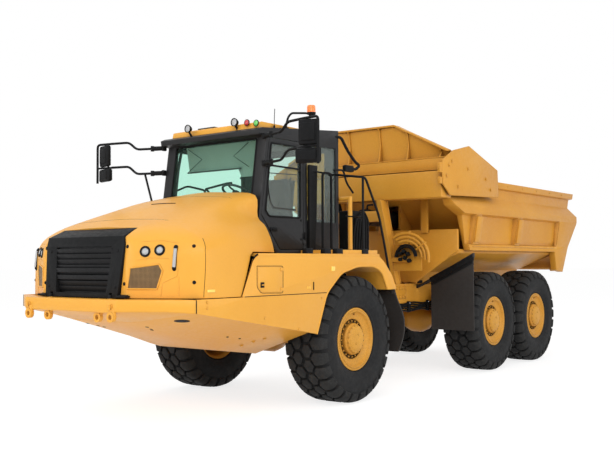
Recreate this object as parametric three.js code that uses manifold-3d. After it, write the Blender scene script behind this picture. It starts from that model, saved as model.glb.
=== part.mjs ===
// Articulated hauler with an ejector body, in millimetres, +Z up, nose towards -Y.
// Lengths along Y below are counted from the front axle; shiftY centres the whole truck.
import * as THREE from 'three';
import { mergeVertices } from 'three/addons/utils/BufferGeometryUtils.js';
import Module from 'manifold-3d';

const wasm = await Module();
wasm.setup();

// ---- driving sizes ----
const frontY = -3300;            // bumper face
const rearY = 7510;              // rear lip of the body
const shiftY = -(frontY + rearY) / 2;
const fit = 0.3;                 // gap between touching pieces
const clear = 8;                 // gap beside a moving panel
const plate = 40;                // thickness of fender, deck and hood panels

const tyre = { radius: 800, width: 600, rimRadius: 400, track: 2340, segments: 28 };
const axleZ = tyre.radius;
const centreAxleY = 4000;
const rearAxleY = 5700;
const wheelX = tyre.track / 2;

const hull = { half: 1450, top: 1400, deckZ: 1850, noseHalf: 760, cornerY: -2850 };
const arch = { frontLowY: -850, frontLowZ: 925, topZ: 1720, rearY: 930, rearInnerY: 730, rearZ: 1400 };
const cab = {
  half: 850, frontY: -1200, rearY: 450, roofZ: 3400, roofRise: 140,
  wall: 50, beltZ: 2300, screenLowZ: 2480, screenTopZ: 3285, doorFrontLowY: -860, doorRearY: -330,
};
const roofCap = { half: 730, frontY: -1110, rearY: -230, topZ: 3500 };
const hitch = { y: 1350, z: 950, tubeRadius: 170, earHalf: 200 };
const rail = { x: 480, width: 110, bottomZ: 1010, topZ: 1420, frontY: 2150, endY: 6700 };
const bed = {
  half: 1500, innerHalf: 1340, floorZ: 1960, topZ: 3060, frontY: 2420, rearTopY: 7410,
  ledgeHalf: 1530, lowRailZ: 1940,
};
const blade = { footY: 3950, beamLowZ: bed.topZ + 70, beamTopZ: bed.topZ + 260, peakZ: bed.topZ + 820, peakHalf: 585 };
const crossBeam = { frontY: 2120, lowZ: 2710, topZ: bed.topZ + 40 };
const steer = { baseX: 550, baseY: 300, eyeX: 450, eyeY: 1650, z: 870, barrelRadius: 68, rodRadius: 38 };
const ram = { y0: 2300, z: 2470, barrelRadius: 130 };

// ---- colours ----
const paint = (color, roughness, metalness) =>
  new THREE.MeshStandardMaterial({ color, roughness, metalness });
const yellow = paint(0xf0ae3e, 0.45, 0.1);
const black = paint(0x26282a, 0.55, 0.1);
const rubber = paint(0x1d1e20, 0.85, 0);
const steel = paint(0x8d9094, 0.35, 0.85);
const iron = paint(0x4b4a46, 0.7, 0.5);
const pane = paint(0x9fc7bd, 0.1, 0);
pane.transparent = true;
pane.opacity = 0.4;
const amber = paint(0xf07a1e, 0.3, 0);
const trim = paint(0x3a3c3f, 0.8, 0);

const group = new THREE.Group();
group.name = 'articulated_dump_truck';

// ---- solid helpers ----
function toManifold(geometry) {
  const g = geometry.clone();
  g.deleteAttribute('normal');
  g.deleteAttribute('uv');
  const m = mergeVertices(g, 1e-4);
  return new wasm.Manifold(new wasm.Mesh({
    numProp: 3,
    vertProperties: new Float32Array(m.attributes.position.array),
    triVerts: new Uint32Array(m.index.array),
  }));
}

function closed(positions, triangles) {
  return new wasm.Manifold(new wasm.Mesh({
    numProp: 3,
    vertProperties: new Float32Array(positions),
    triVerts: new Uint32Array(triangles),
  }));
}

const reversed = (tris) => Array.from(tris, (_, i) => tris[i - i % 3 + [0, 2, 1][i % 3]]);

// the same solid on the other side of the centre line
function mirrored(solid) {
  const mesh = solid.getMesh();
  const flippedX = Array.from(mesh.vertProperties, (v, i) => (i % 3 === 0 ? -v : v));
  return closed(flippedX, reversed(mesh.triVerts));
}

function add(name, solid, material) {
  const mesh = solid.getMesh();
  const g = new THREE.BufferGeometry();
  g.setAttribute('position', new THREE.BufferAttribute(mesh.vertProperties, 3));
  g.setIndex(new THREE.BufferAttribute(mesh.triVerts, 1));
  g.translate(0, shiftY, 0);
  g.computeVertexNormals();
  const node = new THREE.Mesh(g, material);
  node.name = name;
  group.add(node);
}

const union = (list) => list.reduce((a, b) => a.add(b));
const cut = (from, list) => list.reduce((a, b) => a.subtract(b), from);
const both = (solid) => solid.add(mirrored(solid));

function box(x0, x1, y0, y1, z0, z1) {
  const g = new THREE.BoxGeometry(x1 - x0, y1 - y0, z1 - z0);
  g.translate((x0 + x1) / 2, (y0 + y1) / 2, (z0 + z1) / 2);
  return toManifold(g);
}

function extrude(points, depth) {
  const shape = new THREE.Shape(points.map(([a, b]) => new THREE.Vector2(a, b)));
  return new THREE.ExtrudeGeometry(shape, { depth, bevelEnabled: false });
}

// outline in (x, y), raised along Z
function prismZ(points, z0, z1) {
  const g = extrude(points, z1 - z0);
  g.translate(0, 0, z0);
  return toManifold(g);
}

// outline in (x, z), run along Y
function prismY(points, y0, y1) {
  const g = extrude(points.map(([x, z]) => [x, z]), y1 - y0);
  g.rotateX(Math.PI / 2);
  g.translate(0, y1, 0);
  return toManifold(g);
}

// outline in (y, z), run along X
function prismX(points, x0, x1) {
  const g = extrude(points, x1 - x0);
  g.rotateX(Math.PI / 2);
  g.rotateZ(Math.PI / 2);
  g.translate(x0, 0, 0);
  return toManifold(g);
}

// profile of [radius, height] turned about an axis through centre
function turned(profile, axis, centre, segments = 20, phase = 0) {
  const g = new THREE.LatheGeometry(profile.map(([r, h]) => new THREE.Vector2(r, h)), segments, phase);
  if (axis === 'x') g.rotateZ(-Math.PI / 2);
  if (axis === 'z') g.rotateX(Math.PI / 2);
  g.translate(...centre);
  return toManifold(g);
}

function rod(axis, radius, from, to, centre, segments = 20) {
  return turned([[0, from], [radius, from], [radius, to], [0, to]], axis, centre, segments);
}

// round bar between two points
function bar(a, b, radius, segments = 6) {
  const p = new THREE.Vector3(...a);
  const q = new THREE.Vector3(...b);
  const length = p.distanceTo(q);
  const g = new THREE.CylinderGeometry(radius, radius, length + radius, segments);
  g.rotateX(Math.PI / 2);
  g.lookAt(q.clone().sub(p));
  g.translate(...p.clone().add(q).multiplyScalar(0.5).toArray());
  return toManifold(g);
}

// round pipe through points, mitred at each bend
function pipe(points, radius, sides = 8) {
  const at = points.map((p) => new THREE.Vector3(...p));
  const runs = at.slice(1).map((p, i) => p.clone().sub(at[i]).normalize());
  const up = new THREE.Vector3(0.31, 0.17, 0.93).cross(runs[0]).normalize();
  const across = runs[0].clone().cross(up);
  let ring = Array.from({ length: sides }, (_, k) => {
    const a = 2 * Math.PI * k / sides;
    return at[0].clone().addScaledVector(up, radius * Math.cos(a)).addScaledVector(across, radius * Math.sin(a));
  });
  const rings = [ring];
  for (let i = 1; i < at.length; i++) {
    const run = runs[i - 1];
    const normal = run.clone().add(runs[i] || run).normalize();
    ring = ring.map((p) => p.clone().addScaledVector(run, at[i].clone().sub(p).dot(normal) / run.dot(normal)));
    rings.push(ring);
  }
  return skin(rings.map((r) => r.map((p) => p.toArray())), (n) =>
    Array.from({ length: n - 2 }, (_, k) => [0, k + 1, k + 2]));
}

// closed skin through rings of equal point count, capped with the triangles that caps(count) names
function skin(rings, caps) {
  const n = rings[0].length;
  const verts = rings.flat(2);
  const tris = [];
  for (let s = 0; s + 1 < rings.length; s++) {
    for (let i = 0; i < n; i++) {
      const a = s * n + i;
      const b = s * n + (i + 1) % n;
      tris.push(a, b, b + n, a, b + n, a + n);
    }
  }
  const last = (rings.length - 1) * n;
  for (const [a, b, c] of caps(n)) tris.push(a, c, b, last + a, last + b, last + c);
  const solid = closed(verts, tris);
  return solid.volume() < 0 ? closed(verts, reversed(tris)) : solid;
}

// skin through upright sections, each a list of [x, y, z]
function loft(sections) {
  const outline = sections[0].map(([x, , z]) => new THREE.Vector2(x, z));
  return skin(sections, () => THREE.ShapeUtils.triangulateShape(outline, []));
}

// full section at y from its half outline, which starts and ends on the centre line
function section(half, y) {
  const left = half.map(([x, z]) => [x, y, z]);
  const right = half.slice().reverse().filter(([x]) => x > 0).map(([x, z]) => [-x, y, z]);
  return [...left, ...right];
}

// ---- wheels ----
const hubFace = 150;              // rim disc plane, outboard of the wheel's centre
const spindleRadius = 146;
const flangeRadius = 205;

// a wheel stands on a facet, so that its facets, not its corners, lie at the stated radii
function wheelTurned(profile, centre) {
  const turn = Math.PI / tyre.segments;
  const corner = (r) => r / Math.cos(turn);
  return turned(profile.map(([r, h]) => [corner(r), h]), 'x', centre, tyre.segments, turn);
}

function makeTyre(x, y) {
  const w = tyre.width / 2;
  const r = tyre.radius;
  const bead = tyre.rimRadius;
  return wheelTurned([
    [bead, 60 - w], [bead + 70, 8 - w], [r - 170, -w], [r, 75 - w],
    [r, w - 75], [r - 170, w], [bead + 70, w - 8], [bead, w - 60], [bead, 60 - w],
  ], [x, y, axleZ]);
}

function makeRim() {
  const w = tyre.width / 2;
  const r = tyre.rimRadius - fit;
  const bore = spindleRadius + 10;
  return wheelTurned([
    [bore, hubFace], [r - 45, hubFace], [r - 45, 60 - w], [r, 60 - w],
    [r, w - 60], [r - 25, w - 30], [r - 90, hubFace + 45], [235, hubFace + 45],
    [200, hubFace + 130], [0, hubFace + 130],
    [0, hubFace + 100], [bore, hubFace + 100], [bore, hubFace],
  ], [wheelX, 0, axleZ]);
}

const wheelPlaces = [['front', 0], ['centre', centreAxleY], ['rear', rearAxleY]];

function makeWheels() {
  for (const [place, y] of wheelPlaces) {
    const rim = moved(makeRim(), 0, y, 0);
    add(`tyre_${place}_left`, makeTyre(wheelX, y), rubber);
    add(`tyre_${place}_right`, makeTyre(-wheelX, y), rubber);
    add(`rim_${place}_left`, rim, yellow);
    add(`rim_${place}_right`, mirrored(rim), yellow);
  }
}

// axle with a round drive case, flanges that back the rims, and spindles inside them
function makeAxle(y, grow = 0) {
  const face = wheelX + hubFace;
  return both(turned([
    [0, 0], [235 + grow, 0], [235 + grow, 90], [190 + grow, 190], [120 + grow, 260], [110 + grow, 620],
    [150 + grow, 700], [flangeRadius + grow, 760], [flangeRadius + grow, face - fit],
    [spindleRadius, face - fit], [spindleRadius, face + 70], [0, face + 70],
  ], 'x', [0, y, axleZ]));
}

// ---- front chassis ----
const bumperWall = 60;
const frontRail = { inner: 330, outer: 420, lowZ: 1030, topZ: 1300, noseY: -3100, endY: hitch.y - 300 };
const earLowZ = hitch.z - 320;
const earHighZ = hitch.z + 250;
const earThick = 70;
const headHalf = 290;             // below the rails, clear of the steering cylinders
const deckLowZ = hull.deckZ - 10 + fit;
const deckTopZ = deckLowZ + 30;

function makeFrontFrame() {
  const { inner, outer, lowZ, topZ, noseY, endY } = frontRail;
  const floor = (y) => [y, bellyZ(y) + plate + fit];
  const side = prismX([
    [noseY, topZ], floor(noseY), floor(-3020), floor(hull.cornerY), floor(-2460), [-2300, lowZ],
    [endY, lowZ], [endY, topZ],
  ], inner, outer);
  const ties = [-2300, -700, 500].map((y) => box(-outer, outer, y, y + 120, lowZ + 10, topZ - 10));
  const saddle = box(inner, outer, -150, 150, axleZ, lowZ + 5);
  const head = box(-outer, outer, endY - 180, endY + 40, lowZ, topZ)
    .add(box(-headHalf, headHalf, endY - 180, endY + 40, earLowZ, lowZ + 5));
  const ear = (z0) => prismZ([
    [-hitch.earHalf, endY], [hitch.earHalf, endY], [hitch.earHalf - 20, hitch.y + 60],
    [90, hitch.y + 130], [-90, hitch.y + 130], [20 - hitch.earHalf, hitch.y + 60],
  ], z0, z0 + earThick);
  const hanger = box(outer - 5, steer.baseX + 60, steer.baseY - 60, steer.baseY + 60, 960, 1060);
  const basePin = rod('z', 30, steer.z - 60, 965, [steer.baseX, steer.baseY, 0], 24);
  const posts = [-1000, 250].map((y) => box(inner, outer, y, y + 90, topZ - 5, deckLowZ - fit));
  const frame = union([both(union([side, saddle, hanger, basePin, ...posts])), ...ties, head,
    ear(earLowZ), ear(earHighZ)]);
  return cut(frame, [makeAxle(0, fit)]);
}

const bellyLine = [
  [frontY, 1268], [-3020, 1203], [hull.cornerY, 1138], [-2460, 1024], [-2000, 887], [-1680, 777], [-1510, 727], [-880, 640],
];
function bellyZ(y) {
  const i = Math.max(1, bellyLine.findIndex(([py]) => py >= y));
  const [[ya, za], [yb, zb]] = [bellyLine[i - 1], bellyLine[i]];
  return za + (zb - za) * (y - ya) / (yb - ya);
}
const bandZ = (y) => Math.min(1280, 1275 - (y + 2940) * 0.168);
const keel = { half: 520, noseHalf: 700 };
const keelAt = (y) => Math.max(keel.half,
  keel.noseHalf + (keel.half - keel.noseHalf) * (y - frontY) / (hull.cornerY - frontY));

function makeBumper() {
  const { cornerY, half, noseHalf, top } = hull;
  const wide = (y) => noseHalf + (half - noseHalf) * (y - frontY) / (cornerY - frontY);
  const shell = (inset, topZ) => loft([frontY, -3020, cornerY].map((y) => section([
    [0, bellyZ(y) + inset], [keelAt(y) - inset, bellyZ(y) + inset], [wide(y) - inset, bandZ(y) + inset * 0.6],
    [wide(y) - inset, topZ], [0, topZ],
  ], y)));
  const room = box(-half, half, frontY + bumperWall, cornerY + clear, 0, top - plate);
  const lug = both(box(hoodHinge.lugX, hoodHinge.lugX + hoodHinge.lugWide, hoodHinge.y - 18, hoodHinge.y + 18,
    top - 5, hoodHinge.z + 18));
  return cut(shell(0, top), [shell(plate, top + plate).intersect(room)]).add(lug);
}

function makeBellyPan() {
  const stations = [hull.cornerY + fit, -2460, -2000, -1680, -1510, -880];
  const side = hull.half - plate - fit;
  const low = (y) => bandZ(y) + 30;
  return loft(stations.map((y) => section([
    [0, bellyZ(y)], [keel.half, bellyZ(y)], [side, low(y)], [side, low(y) + plate],
    [keel.half - 10, bellyZ(y) + plate], [0, bellyZ(y) + plate],
  ], y)));
}

// ---- fenders and deck ----
const archEdge = [
  [arch.frontLowY, arch.frontLowZ], [-650, 1400], [-340, 1640], [20, arch.topZ], [410, arch.topZ],
  [600, 1640], [arch.rearInnerY, arch.rearZ + 10],
];
const seam = { footY: -2150, topY: -1960 };

function makeFender() {
  const top = deckLowZ - fit;
  const noseY = hull.cornerY + fit;
  const side = prismX([
    [noseY, bandZ(noseY)], ...archEdge, [arch.rearInnerY, arch.rearZ], [arch.rearY, arch.rearZ],
    [820, 1590], [630, 1770], [530, top], [seam.topY + 60, top], [seam.topY, top - 30],
    [seam.footY, hull.top], [noseY, hull.top],
  ], hull.half - plate, hull.half);
  const liner = prismX([
    ...archEdge.slice(1), [arch.rearInnerY, arch.rearZ], [arch.rearInnerY + 30, arch.rearZ],
    [arch.rearInnerY + 30, 1420], [625, 1665], [425, 1750], [10, 1750], [-358, 1668], [-680, 1415],
  ], 840, hull.half - plate + 1);
  const foot = box(840, hull.half, arch.rearInnerY, arch.rearY, arch.rearZ, arch.rearZ + 30);
  const back = prismX([
    [arch.rearY - 30, arch.rearZ], [arch.rearY, arch.rearZ], [820, 1590], [630, 1770], [530, top],
    [500, top], [600, 1760], [790, 1575],
  ], 840, hull.half - plate + 1);
  return union([side, liner, foot, back]);
}

function makeDeck() {
  const slab = box(-hull.half, hull.half, seam.topY + 60, 520, deckLowZ, deckTopZ);
  const engineBay = box(-1000, 1000, -2200, cab.frontY - 60, 1000, 2000);
  const raised = both(box(cab.half + 10, hull.half - 20, -400, 500, deckTopZ - 5, deckTopZ + 50));
  return union([cut(slab, [engineBay]), raised, makeRearGuard()]);
}

function makeFrontFlap() {
  return box(900, 1490, arch.rearY - 60, arch.rearY - 30, 560, arch.rearZ - fit);
}

// ---- hood ----
const hoodHinge = { y: -3150, z: 1425, lugX: 480, lugWide: 40 };
const hoodLowZ = 1408;
const hoodSections = [
  [-3110, [[700, hoodLowZ], [690, 1800], [660, 1960], [600, 2030], [500, 2050], [300, 2060], [0, 2065]]],
  [-3000, [[900, hoodLowZ], [890, 1800], [860, 1930], [780, 2020], [640, 2080], [400, 2100], [0, 2110]]],
  [-2850, [[1210, hoodLowZ], [1200, 1800], [1160, 1920], [1030, 2040], [750, 2145], [400, 2165], [0, 2175]]],
  [-2716, [[1400, hoodLowZ], [1390, 1810], [1340, 1950], [1170, 2080], [790, 2190], [400, 2215], [0, 2225]]],
  [-2600, [[1430, hoodLowZ], [1425, 1840], [1370, 1990], [1180, 2120], [800, 2230], [400, 2255], [0, 2265]]],
  [-2200, [[1430, hoodLowZ], [1415, 1880], [1350, 2070], [1130, 2240], [820, 2350], [400, 2390], [0, 2405]]],
  [-1700, [[1380, hoodLowZ], [1330, 1900], [1210, 2140], [1010, 2320], [830, 2490], [400, 2535], [0, 2550]]],
  [-1260, [[1190, hoodLowZ], [1140, 1900], [1020, 2180], [890, 2310], [850, 2570], [400, 2625], [0, 2645]]],
];

function hoodSkin(inset) {
  return loft(hoodSections.map(([y, half]) => {
    const points = half.map(([x, z]) => [Math.max(0, x - inset), z - (z > hoodLowZ ? inset : 0)]);
    return section([[0, hoodLowZ - inset], [points[0][0], hoodLowZ - inset], ...points.slice(1)], y);
  }));
}

// grille surround: an upright frame whose top laps back over the nose of the hood
const surround = {
  lowHalf: 600, topHalf: 652, lowFrontY: -3150, topFrontY: -3088, cornerZ: 2052, lipY: -2890, lipZ: 2142,
  depth: 75, lipThick: 30, footZ: hoodLowZ, proud: 22,
};

function surroundOutline(grow, low, top) {
  const { lowHalf, topHalf, cornerZ } = surround;
  return [
    [-lowHalf - grow, low], [lowHalf + grow, low], [topHalf + grow, cornerZ - 90],
    [topHalf - 20 + grow, cornerZ + grow], [topHalf - 42 + grow, top], [42 - topHalf - grow, top],
    [20 - topHalf - grow, cornerZ + grow], [-topHalf - grow, cornerZ - 90],
  ];
}

function makeHood() {
  const outer = hoodSkin(0).intersect(box(-hull.half, hull.half, -3200, -1268, hoodLowZ, 3000));
  const inner = hoodSkin(plate).intersect(box(-hull.half, hull.half, -3060, -1268, 1300, 3000));
  const { lowFrontY, topFrontY, depth, cornerZ, lipY, lipZ, lipThick, footZ, proud } = surround;
  const high = lipZ + plate;
  const rake = prismX([[-3300, footZ - 1], [lowFrontY + proud, footZ - 1], [topFrontY + proud, cornerZ],
    [topFrontY + proud, high], [-3300, high]], -hull.half, hull.half);
  const surroundSpace = prismX([[-3300, footZ - 1], [lowFrontY + depth + fit, footZ - 1],
    [topFrontY + depth + fit, cornerZ - lipThick - fit], [lipY + fit, lipZ - lipThick - fit], [lipY + fit, high],
    [-3300, high]], -hull.half, hull.half).intersect(prismY(surroundOutline(fit, footZ - plate, high), -3300, lipY + fit));
  const fenderSpace = prismX([
    [seam.footY - clear, 1300], [seam.footY - clear, hull.top + 8], [seam.topY - clear, deckTopZ + clear - 30],
    [seam.topY + 50, deckTopZ + clear], [-1000, deckTopZ + clear], [-1000, 1300],
  ], -1600, 1600);
  return cut(outer, [inner, rake, surroundSpace, fenderSpace]);
}

function makeSurround() {
  const { lowFrontY: y0, topFrontY, cornerZ, lipY, lipThick, depth, lipZ, footZ } = surround;
  const side = prismX([
    [y0, footZ], [topFrontY, cornerZ], [lipY, lipZ], [lipY, lipZ - lipThick],
    [topFrontY + depth, cornerZ - lipThick], [y0 + depth, footZ],
  ], -surround.topHalf, surround.topHalf);
  const frame = prismY(surroundOutline(0, footZ, lipZ), y0 - 10, lipY).intersect(side);
  const mouth = prismY([[-425, 1455], [425, 1455], [470, 1945], [-470, 1945]], y0 - 10, y0 + depth + 45);
  const slats = [1520, 1600, 1680, 1760, 1840].map((z) => box(-490, 490, y0 + 62, y0 + 74, z, z + 34));
  const notch = both(box(hoodHinge.lugX - clear, hoodHinge.lugX + hoodHinge.lugWide + fit,
    y0 - 1, y0 + depth + 1, footZ - clear, 1460));
  return union([cut(frame, [mouth, notch]), ...slats]);
}

function makeEngine() {
  return box(-420, 420, -2600, -1350, frontRail.topZ + fit, 1960);
}

// ---- cab ----
const screenY = (z) => cab.frontY + (z - cab.beltZ) * 0.1474;
const cabBase = deckTopZ + fit;
const visorY = -1130;
const visorZ = cab.screenTopZ + 5;
const cabSide = [
  [cab.doorFrontLowY, cabBase], [cab.frontY, cab.beltZ], [screenY(visorZ), visorZ], [-1190, visorZ + 20],
  [-1200, 3370], [visorY, cab.roofZ], [cab.rearY, cab.roofZ + cab.roofRise], [cab.rearY, cabBase],
];
const roofLine = (y) => cab.roofZ + cab.roofRise * (y - visorY) / (cab.rearY - visorY);
const doorShape = [
  [-800, cabBase + 60], [-1145, 2345], [screenY(3290) + 60, 3290], [cab.doorRearY, 3290],
  [cab.doorRearY, cabBase + 60],
];
const doorHinge = { x: 868, y: -322, radius: 12 };
const rightPane = [[-1060, 2330], [-950, 3240], [380, 3240], [380, 2330]];
const quarterPane = [[-250, 2290], [-250, 3270], [385, 3290], [385, 2290]];
const doorPane = [[-1075, 2400], [-965, 3230], [-390, 3230], [-390, 2330], [-1010, 2330]];

function grown(points, by) {
  const cy = points.reduce((s, p) => s + p[0], 0) / points.length;
  const cz = points.reduce((s, p) => s + p[1], 0) / points.length;
  return points.map(([y, z]) => [y + Math.sign(y - cy) * by, z + Math.sign(z - cz) * by]);
}

function makeCabFrame() {
  const { half, wall } = cab;
  const shell = prismX(cabSide, -half, half);
  const room = prismX([
    [-800, cabBase + 60], [-1140, 2350], [screenY(3240) + wall, 3240], [-1000, 3345],
    [cab.rearY - wall, roofLine(cab.rearY) - 90], [cab.rearY - wall, cabBase + 60],
  ], wall - half, half - wall);
  const screenHole = box(-700, 700, -1400, -900, cab.screenLowZ, cab.screenTopZ);
  const doorHole = prismX(grown(doorShape, clear), half - wall - 20, half + 20);
  const rightHole = prismX(rightPane, -half - 20, wall + 20 - half);
  const quarterHole = prismX(quarterPane, half - wall - 20, half + 20);
  const rearHole = box(-650, 650, 300, 600, 2350, 3250);
  const knuckle = (z) => rod('z', doorHinge.radius, z, z + 60, [doorHinge.x, doorHinge.y, 0], 12)
    .add(box(845, doorHinge.x, doorHinge.y + 3, doorHinge.y + 30, z, z + 60));
  return cut(shell, [room, screenHole, doorHole, rightHole, quarterHole, rearHole])
    .add(knuckle(2060 + fit)).add(knuckle(3100 - 60 - fit));
}

function makeDoor() {
  const leaf = prismX(doorShape, cab.half - cab.wall, cab.half);
  const hole = prismX(doorPane, 700, 900);
  const knuckle = (z) => rod('z', doorHinge.radius, z, z + 60, [doorHinge.x, doorHinge.y, 0], 12)
    .add(box(840, doorHinge.x, doorHinge.y - 30, doorHinge.y - 3, z, z + 60));
  return cut(leaf, [hole]).add(knuckle(2000)).add(knuckle(3100));
}

const paneThick = 8;
function makeWindscreen() {
  const z0 = cab.screenLowZ + fit;
  const z1 = cab.screenTopZ - fit;
  return prismX([
    [screenY(z0) + 15, z0], [screenY(z1) + 15, z1], [screenY(z1) + 15 + paneThick, z1],
    [screenY(z0) + 15 + paneThick, z0],
  ], fit - 700, 700 - fit);
}
const sidePane = (shape, x) => prismX(grown(shape, -fit), x, x + paneThick);

function makeRoofCap() {
  const { half, frontY: y0, rearY: y1, topZ } = roofCap;
  const under = (y) => roofLine(y) + fit;
  return prismX([
    [y0, under(y0)], [y0 + 20, topZ - 25], [y0 + 120, topZ], [y1, topZ], [y1, under(y1)],
  ], -half, half);
}

function makeSeat() {
  const pedestal = box(-160, 160, -260, 120, cabBase + 60 + fit, 2230);
  const cushion = box(-260, 260, -330, 190, 2225, 2350);
  const back = prismX([[120, 2300], [200, 2980], [290, 2980], [230, 2230], [140, 2230]], -250, 250);
  return union([pedestal, cushion, back]);
}

function makeDashboard() {
  const console = prismX([[-790, cabBase + 60 + fit], [-1125, 2352], [-1100, 2540], [-930, 2540], [-760, cabBase + 60 + fit]],
    -620, 620);
  const column = bar([0, -1000, 2300], [0, -655, 2685], 40);
  const ring = new THREE.TorusGeometry(190, 16, 8, 24);
  ring.rotateX(THREE.MathUtils.degToRad(-28));
  ring.translate(0, -655, 2685);
  const spoke = bar([-188, -655, 2685], [188, -655, 2685], 14, 8);
  return union([console, column, toManifold(ring), spoke]);
}

// ---- mirrors, beacon, rails ----
function makeMirror() {
  const arm = (z, bend) => pipe([
    [cab.half + fit + 18, -1120, z], [1250, -1260, z], [1370, -1290, z + bend], [1640, -1360, z + bend],
  ], 16);
  const foot = (z) => box(cab.half + fit, cab.half + 40, -1150, -1090, z - 30, z + 30);
  const mast = pipe([[1640, -1360, 3390], [1890, -1400, 3390], [1890, -1400, 2860]], 16);
  const stay = pipe([[1640, -1360, 3065], [1890, -1400, 3065]], 14);
  const post = pipe([[1700, -1370, 3390], [1700, -1370, 2880]], 14);
  const head = turnedBox(1750, -1385, 3226, 270, 70, 290).add(turnedBox(1750, -1385, 2963, 300, 70, 170));
  return union([arm(3290, 100), arm(2960, 105), foot(3290), foot(2960), mast, stay, post, head]);
}

// upright box turned about Z so that its wide face looks back and inwards
function turnedBox(x, y, z, width, depth, height) {
  const g = new THREE.BoxGeometry(width, depth, height);
  g.rotateZ(THREE.MathUtils.degToRad(-18));
  g.translate(x, y, z);
  return toManifold(g);
}

function makeBeacon() {
  const roof = roofLine(-590) + 10;
  const bracket = pipe([[800, -620, roof - 10], [800, -550, 3620], [800, -200, 3690], [800, -80, 3690]], 14);
  const foot = box(770, 830, -650, -590, roofLine(-650) - 20, roof);
  const lamp = rod('z', 62, 3680, 3810, [800, -85, 0], 20);
  return cut(union([bracket, foot, lamp]), [prismX(cabSide.map(([y, z]) => [y, z + fit]), 700, 900)]);
}

function makeHandrail() {
  const x = 930;
  const foot = deckTopZ + 50 + fit;
  const loop = (y0, y1) => pipe([[x, y0, foot + 5], [x, y0, 2900], [x, y1, 2900], [x, y1, foot + 5]], 18)
    .add(box(x - 35, x + 35, y0 - 35, y1 + 35, foot, foot + 15));
  return loop(-200, 130);
}

function makeRearGuard() {
  const z = deckTopZ - 10;
  return both(pipe([[1010, 487, z], [1010, 487, 2620], [760, 487, 2620], [760, 487, z]], 30));
}

// ---- hitch and steering cylinders ----
function makeHitch() {
  const eye = rod('z', 150, earLowZ + earThick + fit, earHighZ - 6, [0, hitch.y, 0], 28);
  const neck = box(-140, 140, hitch.y + 100, hitch.y + 260, 800, 1100);
  const tube = rod('y', hitch.tubeRadius, hitch.y + 200, 2330, [0, 0, hitch.z], 36);
  const armPlate = prismZ([[-steer.eyeX - 60, steer.eyeY - 60], [-130, hitch.y + 130], [130, hitch.y + 130],
    [steer.eyeX + 60, steer.eyeY - 60], [steer.eyeX + 60, steer.eyeY + 60], [-steer.eyeX - 60, steer.eyeY + 60]],
    steer.z + steer.barrelRadius + clear, steer.z + steer.barrelRadius + clear + 42);
  return union([eye, neck, tube, armPlate]);
}

const steerBase = new THREE.Vector2(steer.baseX, steer.baseY);
const steerEye = new THREE.Vector2(steer.eyeX, steer.eyeY);
const steerLength = steerBase.distanceTo(steerEye);
const steerYaw = Math.atan2(steerBase.x - steerEye.x, steerEye.y - steerBase.y);
const barrelLength = 900;

function alongSteer(profile, segments = 16) {
  const g = new THREE.LatheGeometry(profile.map(([r, h]) => new THREE.Vector2(r, h)), segments);
  g.rotateZ(steerYaw);
  g.translate(steer.baseX, steer.baseY, steer.z);
  return toManifold(g);
}

function makeSteerBarrel() {
  const { barrelRadius: r, rodRadius: q } = steer;
  const tube = alongSteer([[0, 45], [r, 60], [r, barrelLength], [q + 0.9, barrelLength],
    [q + 0.9, barrelLength - 50], [r - 14, barrelLength - 50], [r - 14, 120], [0, 120]]);
  const eye = rod('z', 60, steer.z - 35, steer.z + 35, [steer.baseX, steer.baseY, 0], 24);
  const bore = rod('z', 30.9, steer.z - 80, steer.z + 80, [steer.baseX, steer.baseY, 0], 24);
  return cut(tube.add(eye), [bore]);
}

function makeSteerRod() {
  const q = steer.rodRadius;
  const shaft = alongSteer([[0, 500], [q, 500], [q, steerLength - 30], [0, steerLength - 30]]);
  const eye = rod('z', 58, steer.z - 30, steer.z + steer.barrelRadius, [steer.eyeX, steer.eyeY, 0], 20);
  return shaft.add(eye);
}

// ---- rear frame ----
function makeRearFrame() {
  const { x, width, bottomZ, topZ, frontY: y0, endY } = rail;
  const side = box(x - width / 2, x + width / 2, y0, endY, bottomZ, topZ);
  const ties = [3300, 4700, 6500].map((y) => box(-x, x, y, y + 140, bottomZ + 60, topZ - 60));
  const head = box(-x - width / 2, x + width / 2, 1960, 2360, 720, 1180);
  const bore = rod('y', hitch.tubeRadius + 0.9, 1900, 2400, [0, 0, hitch.z], 36);
  const leg = prismX([[2000, crossBeam.lowZ - fit], [2210, crossBeam.lowZ - fit], [2590, topZ - 5],
    [2440, topZ - 5]], x - 35, x + 35);
  const ramTie = box(-x, x, 2120, ram.y0 - fit, ram.z - 80, ram.z + 80);
  const saddle = (y) => box(x - 50, x + 50, y - 140, y + 140, axleZ + 60, bottomZ + 5);
  const sides = both(union([side, leg, saddle(centreAxleY), saddle(rearAxleY)]));
  return cut(union([sides, ...ties, head, ramTie]),
    [bore, makeAxle(centreAxleY, fit), makeAxle(rearAxleY, fit)]);
}

function makeBogieBeam() {
  const midY = (centreAxleY + rearAxleY) / 2;
  const beam = prismX([[centreAxleY - 130, 830], [centreAxleY - 130, 960], [midY - 200, 985], [midY + 200, 985],
    [rearAxleY + 130, 960], [rearAxleY + 130, 830], [midY, 800]], 570, 680);
  const pivot = rod('x', 60, rail.x + rail.width / 2 + fit, 600, [0, midY, 930], 20)
    .intersect(box(500, 700, 4000, 6000, 800, rail.bottomZ + 200));
  const bracket = box(rail.x + rail.width / 2 + fit, 600, midY - 90, midY + 90, 900, 1150);
  return cut(union([beam, bracket]), [makeAxle(centreAxleY, fit), makeAxle(rearAxleY, fit)]);
}

// ---- body ----
const sideCut = [
  [bed.frontY, bed.topZ], [bed.frontY, 2740], [2490, 2620], [2760, 2520], [2900, 2480], [3110, bed.lowRailZ],
  [6560, bed.lowRailZ], [6640, 1600], [6940, 1560], [7510, 2480], [7510, 2610], [7300, 2780], [7370, 2960],
  [bed.rearTopY, bed.topZ],
];

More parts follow.
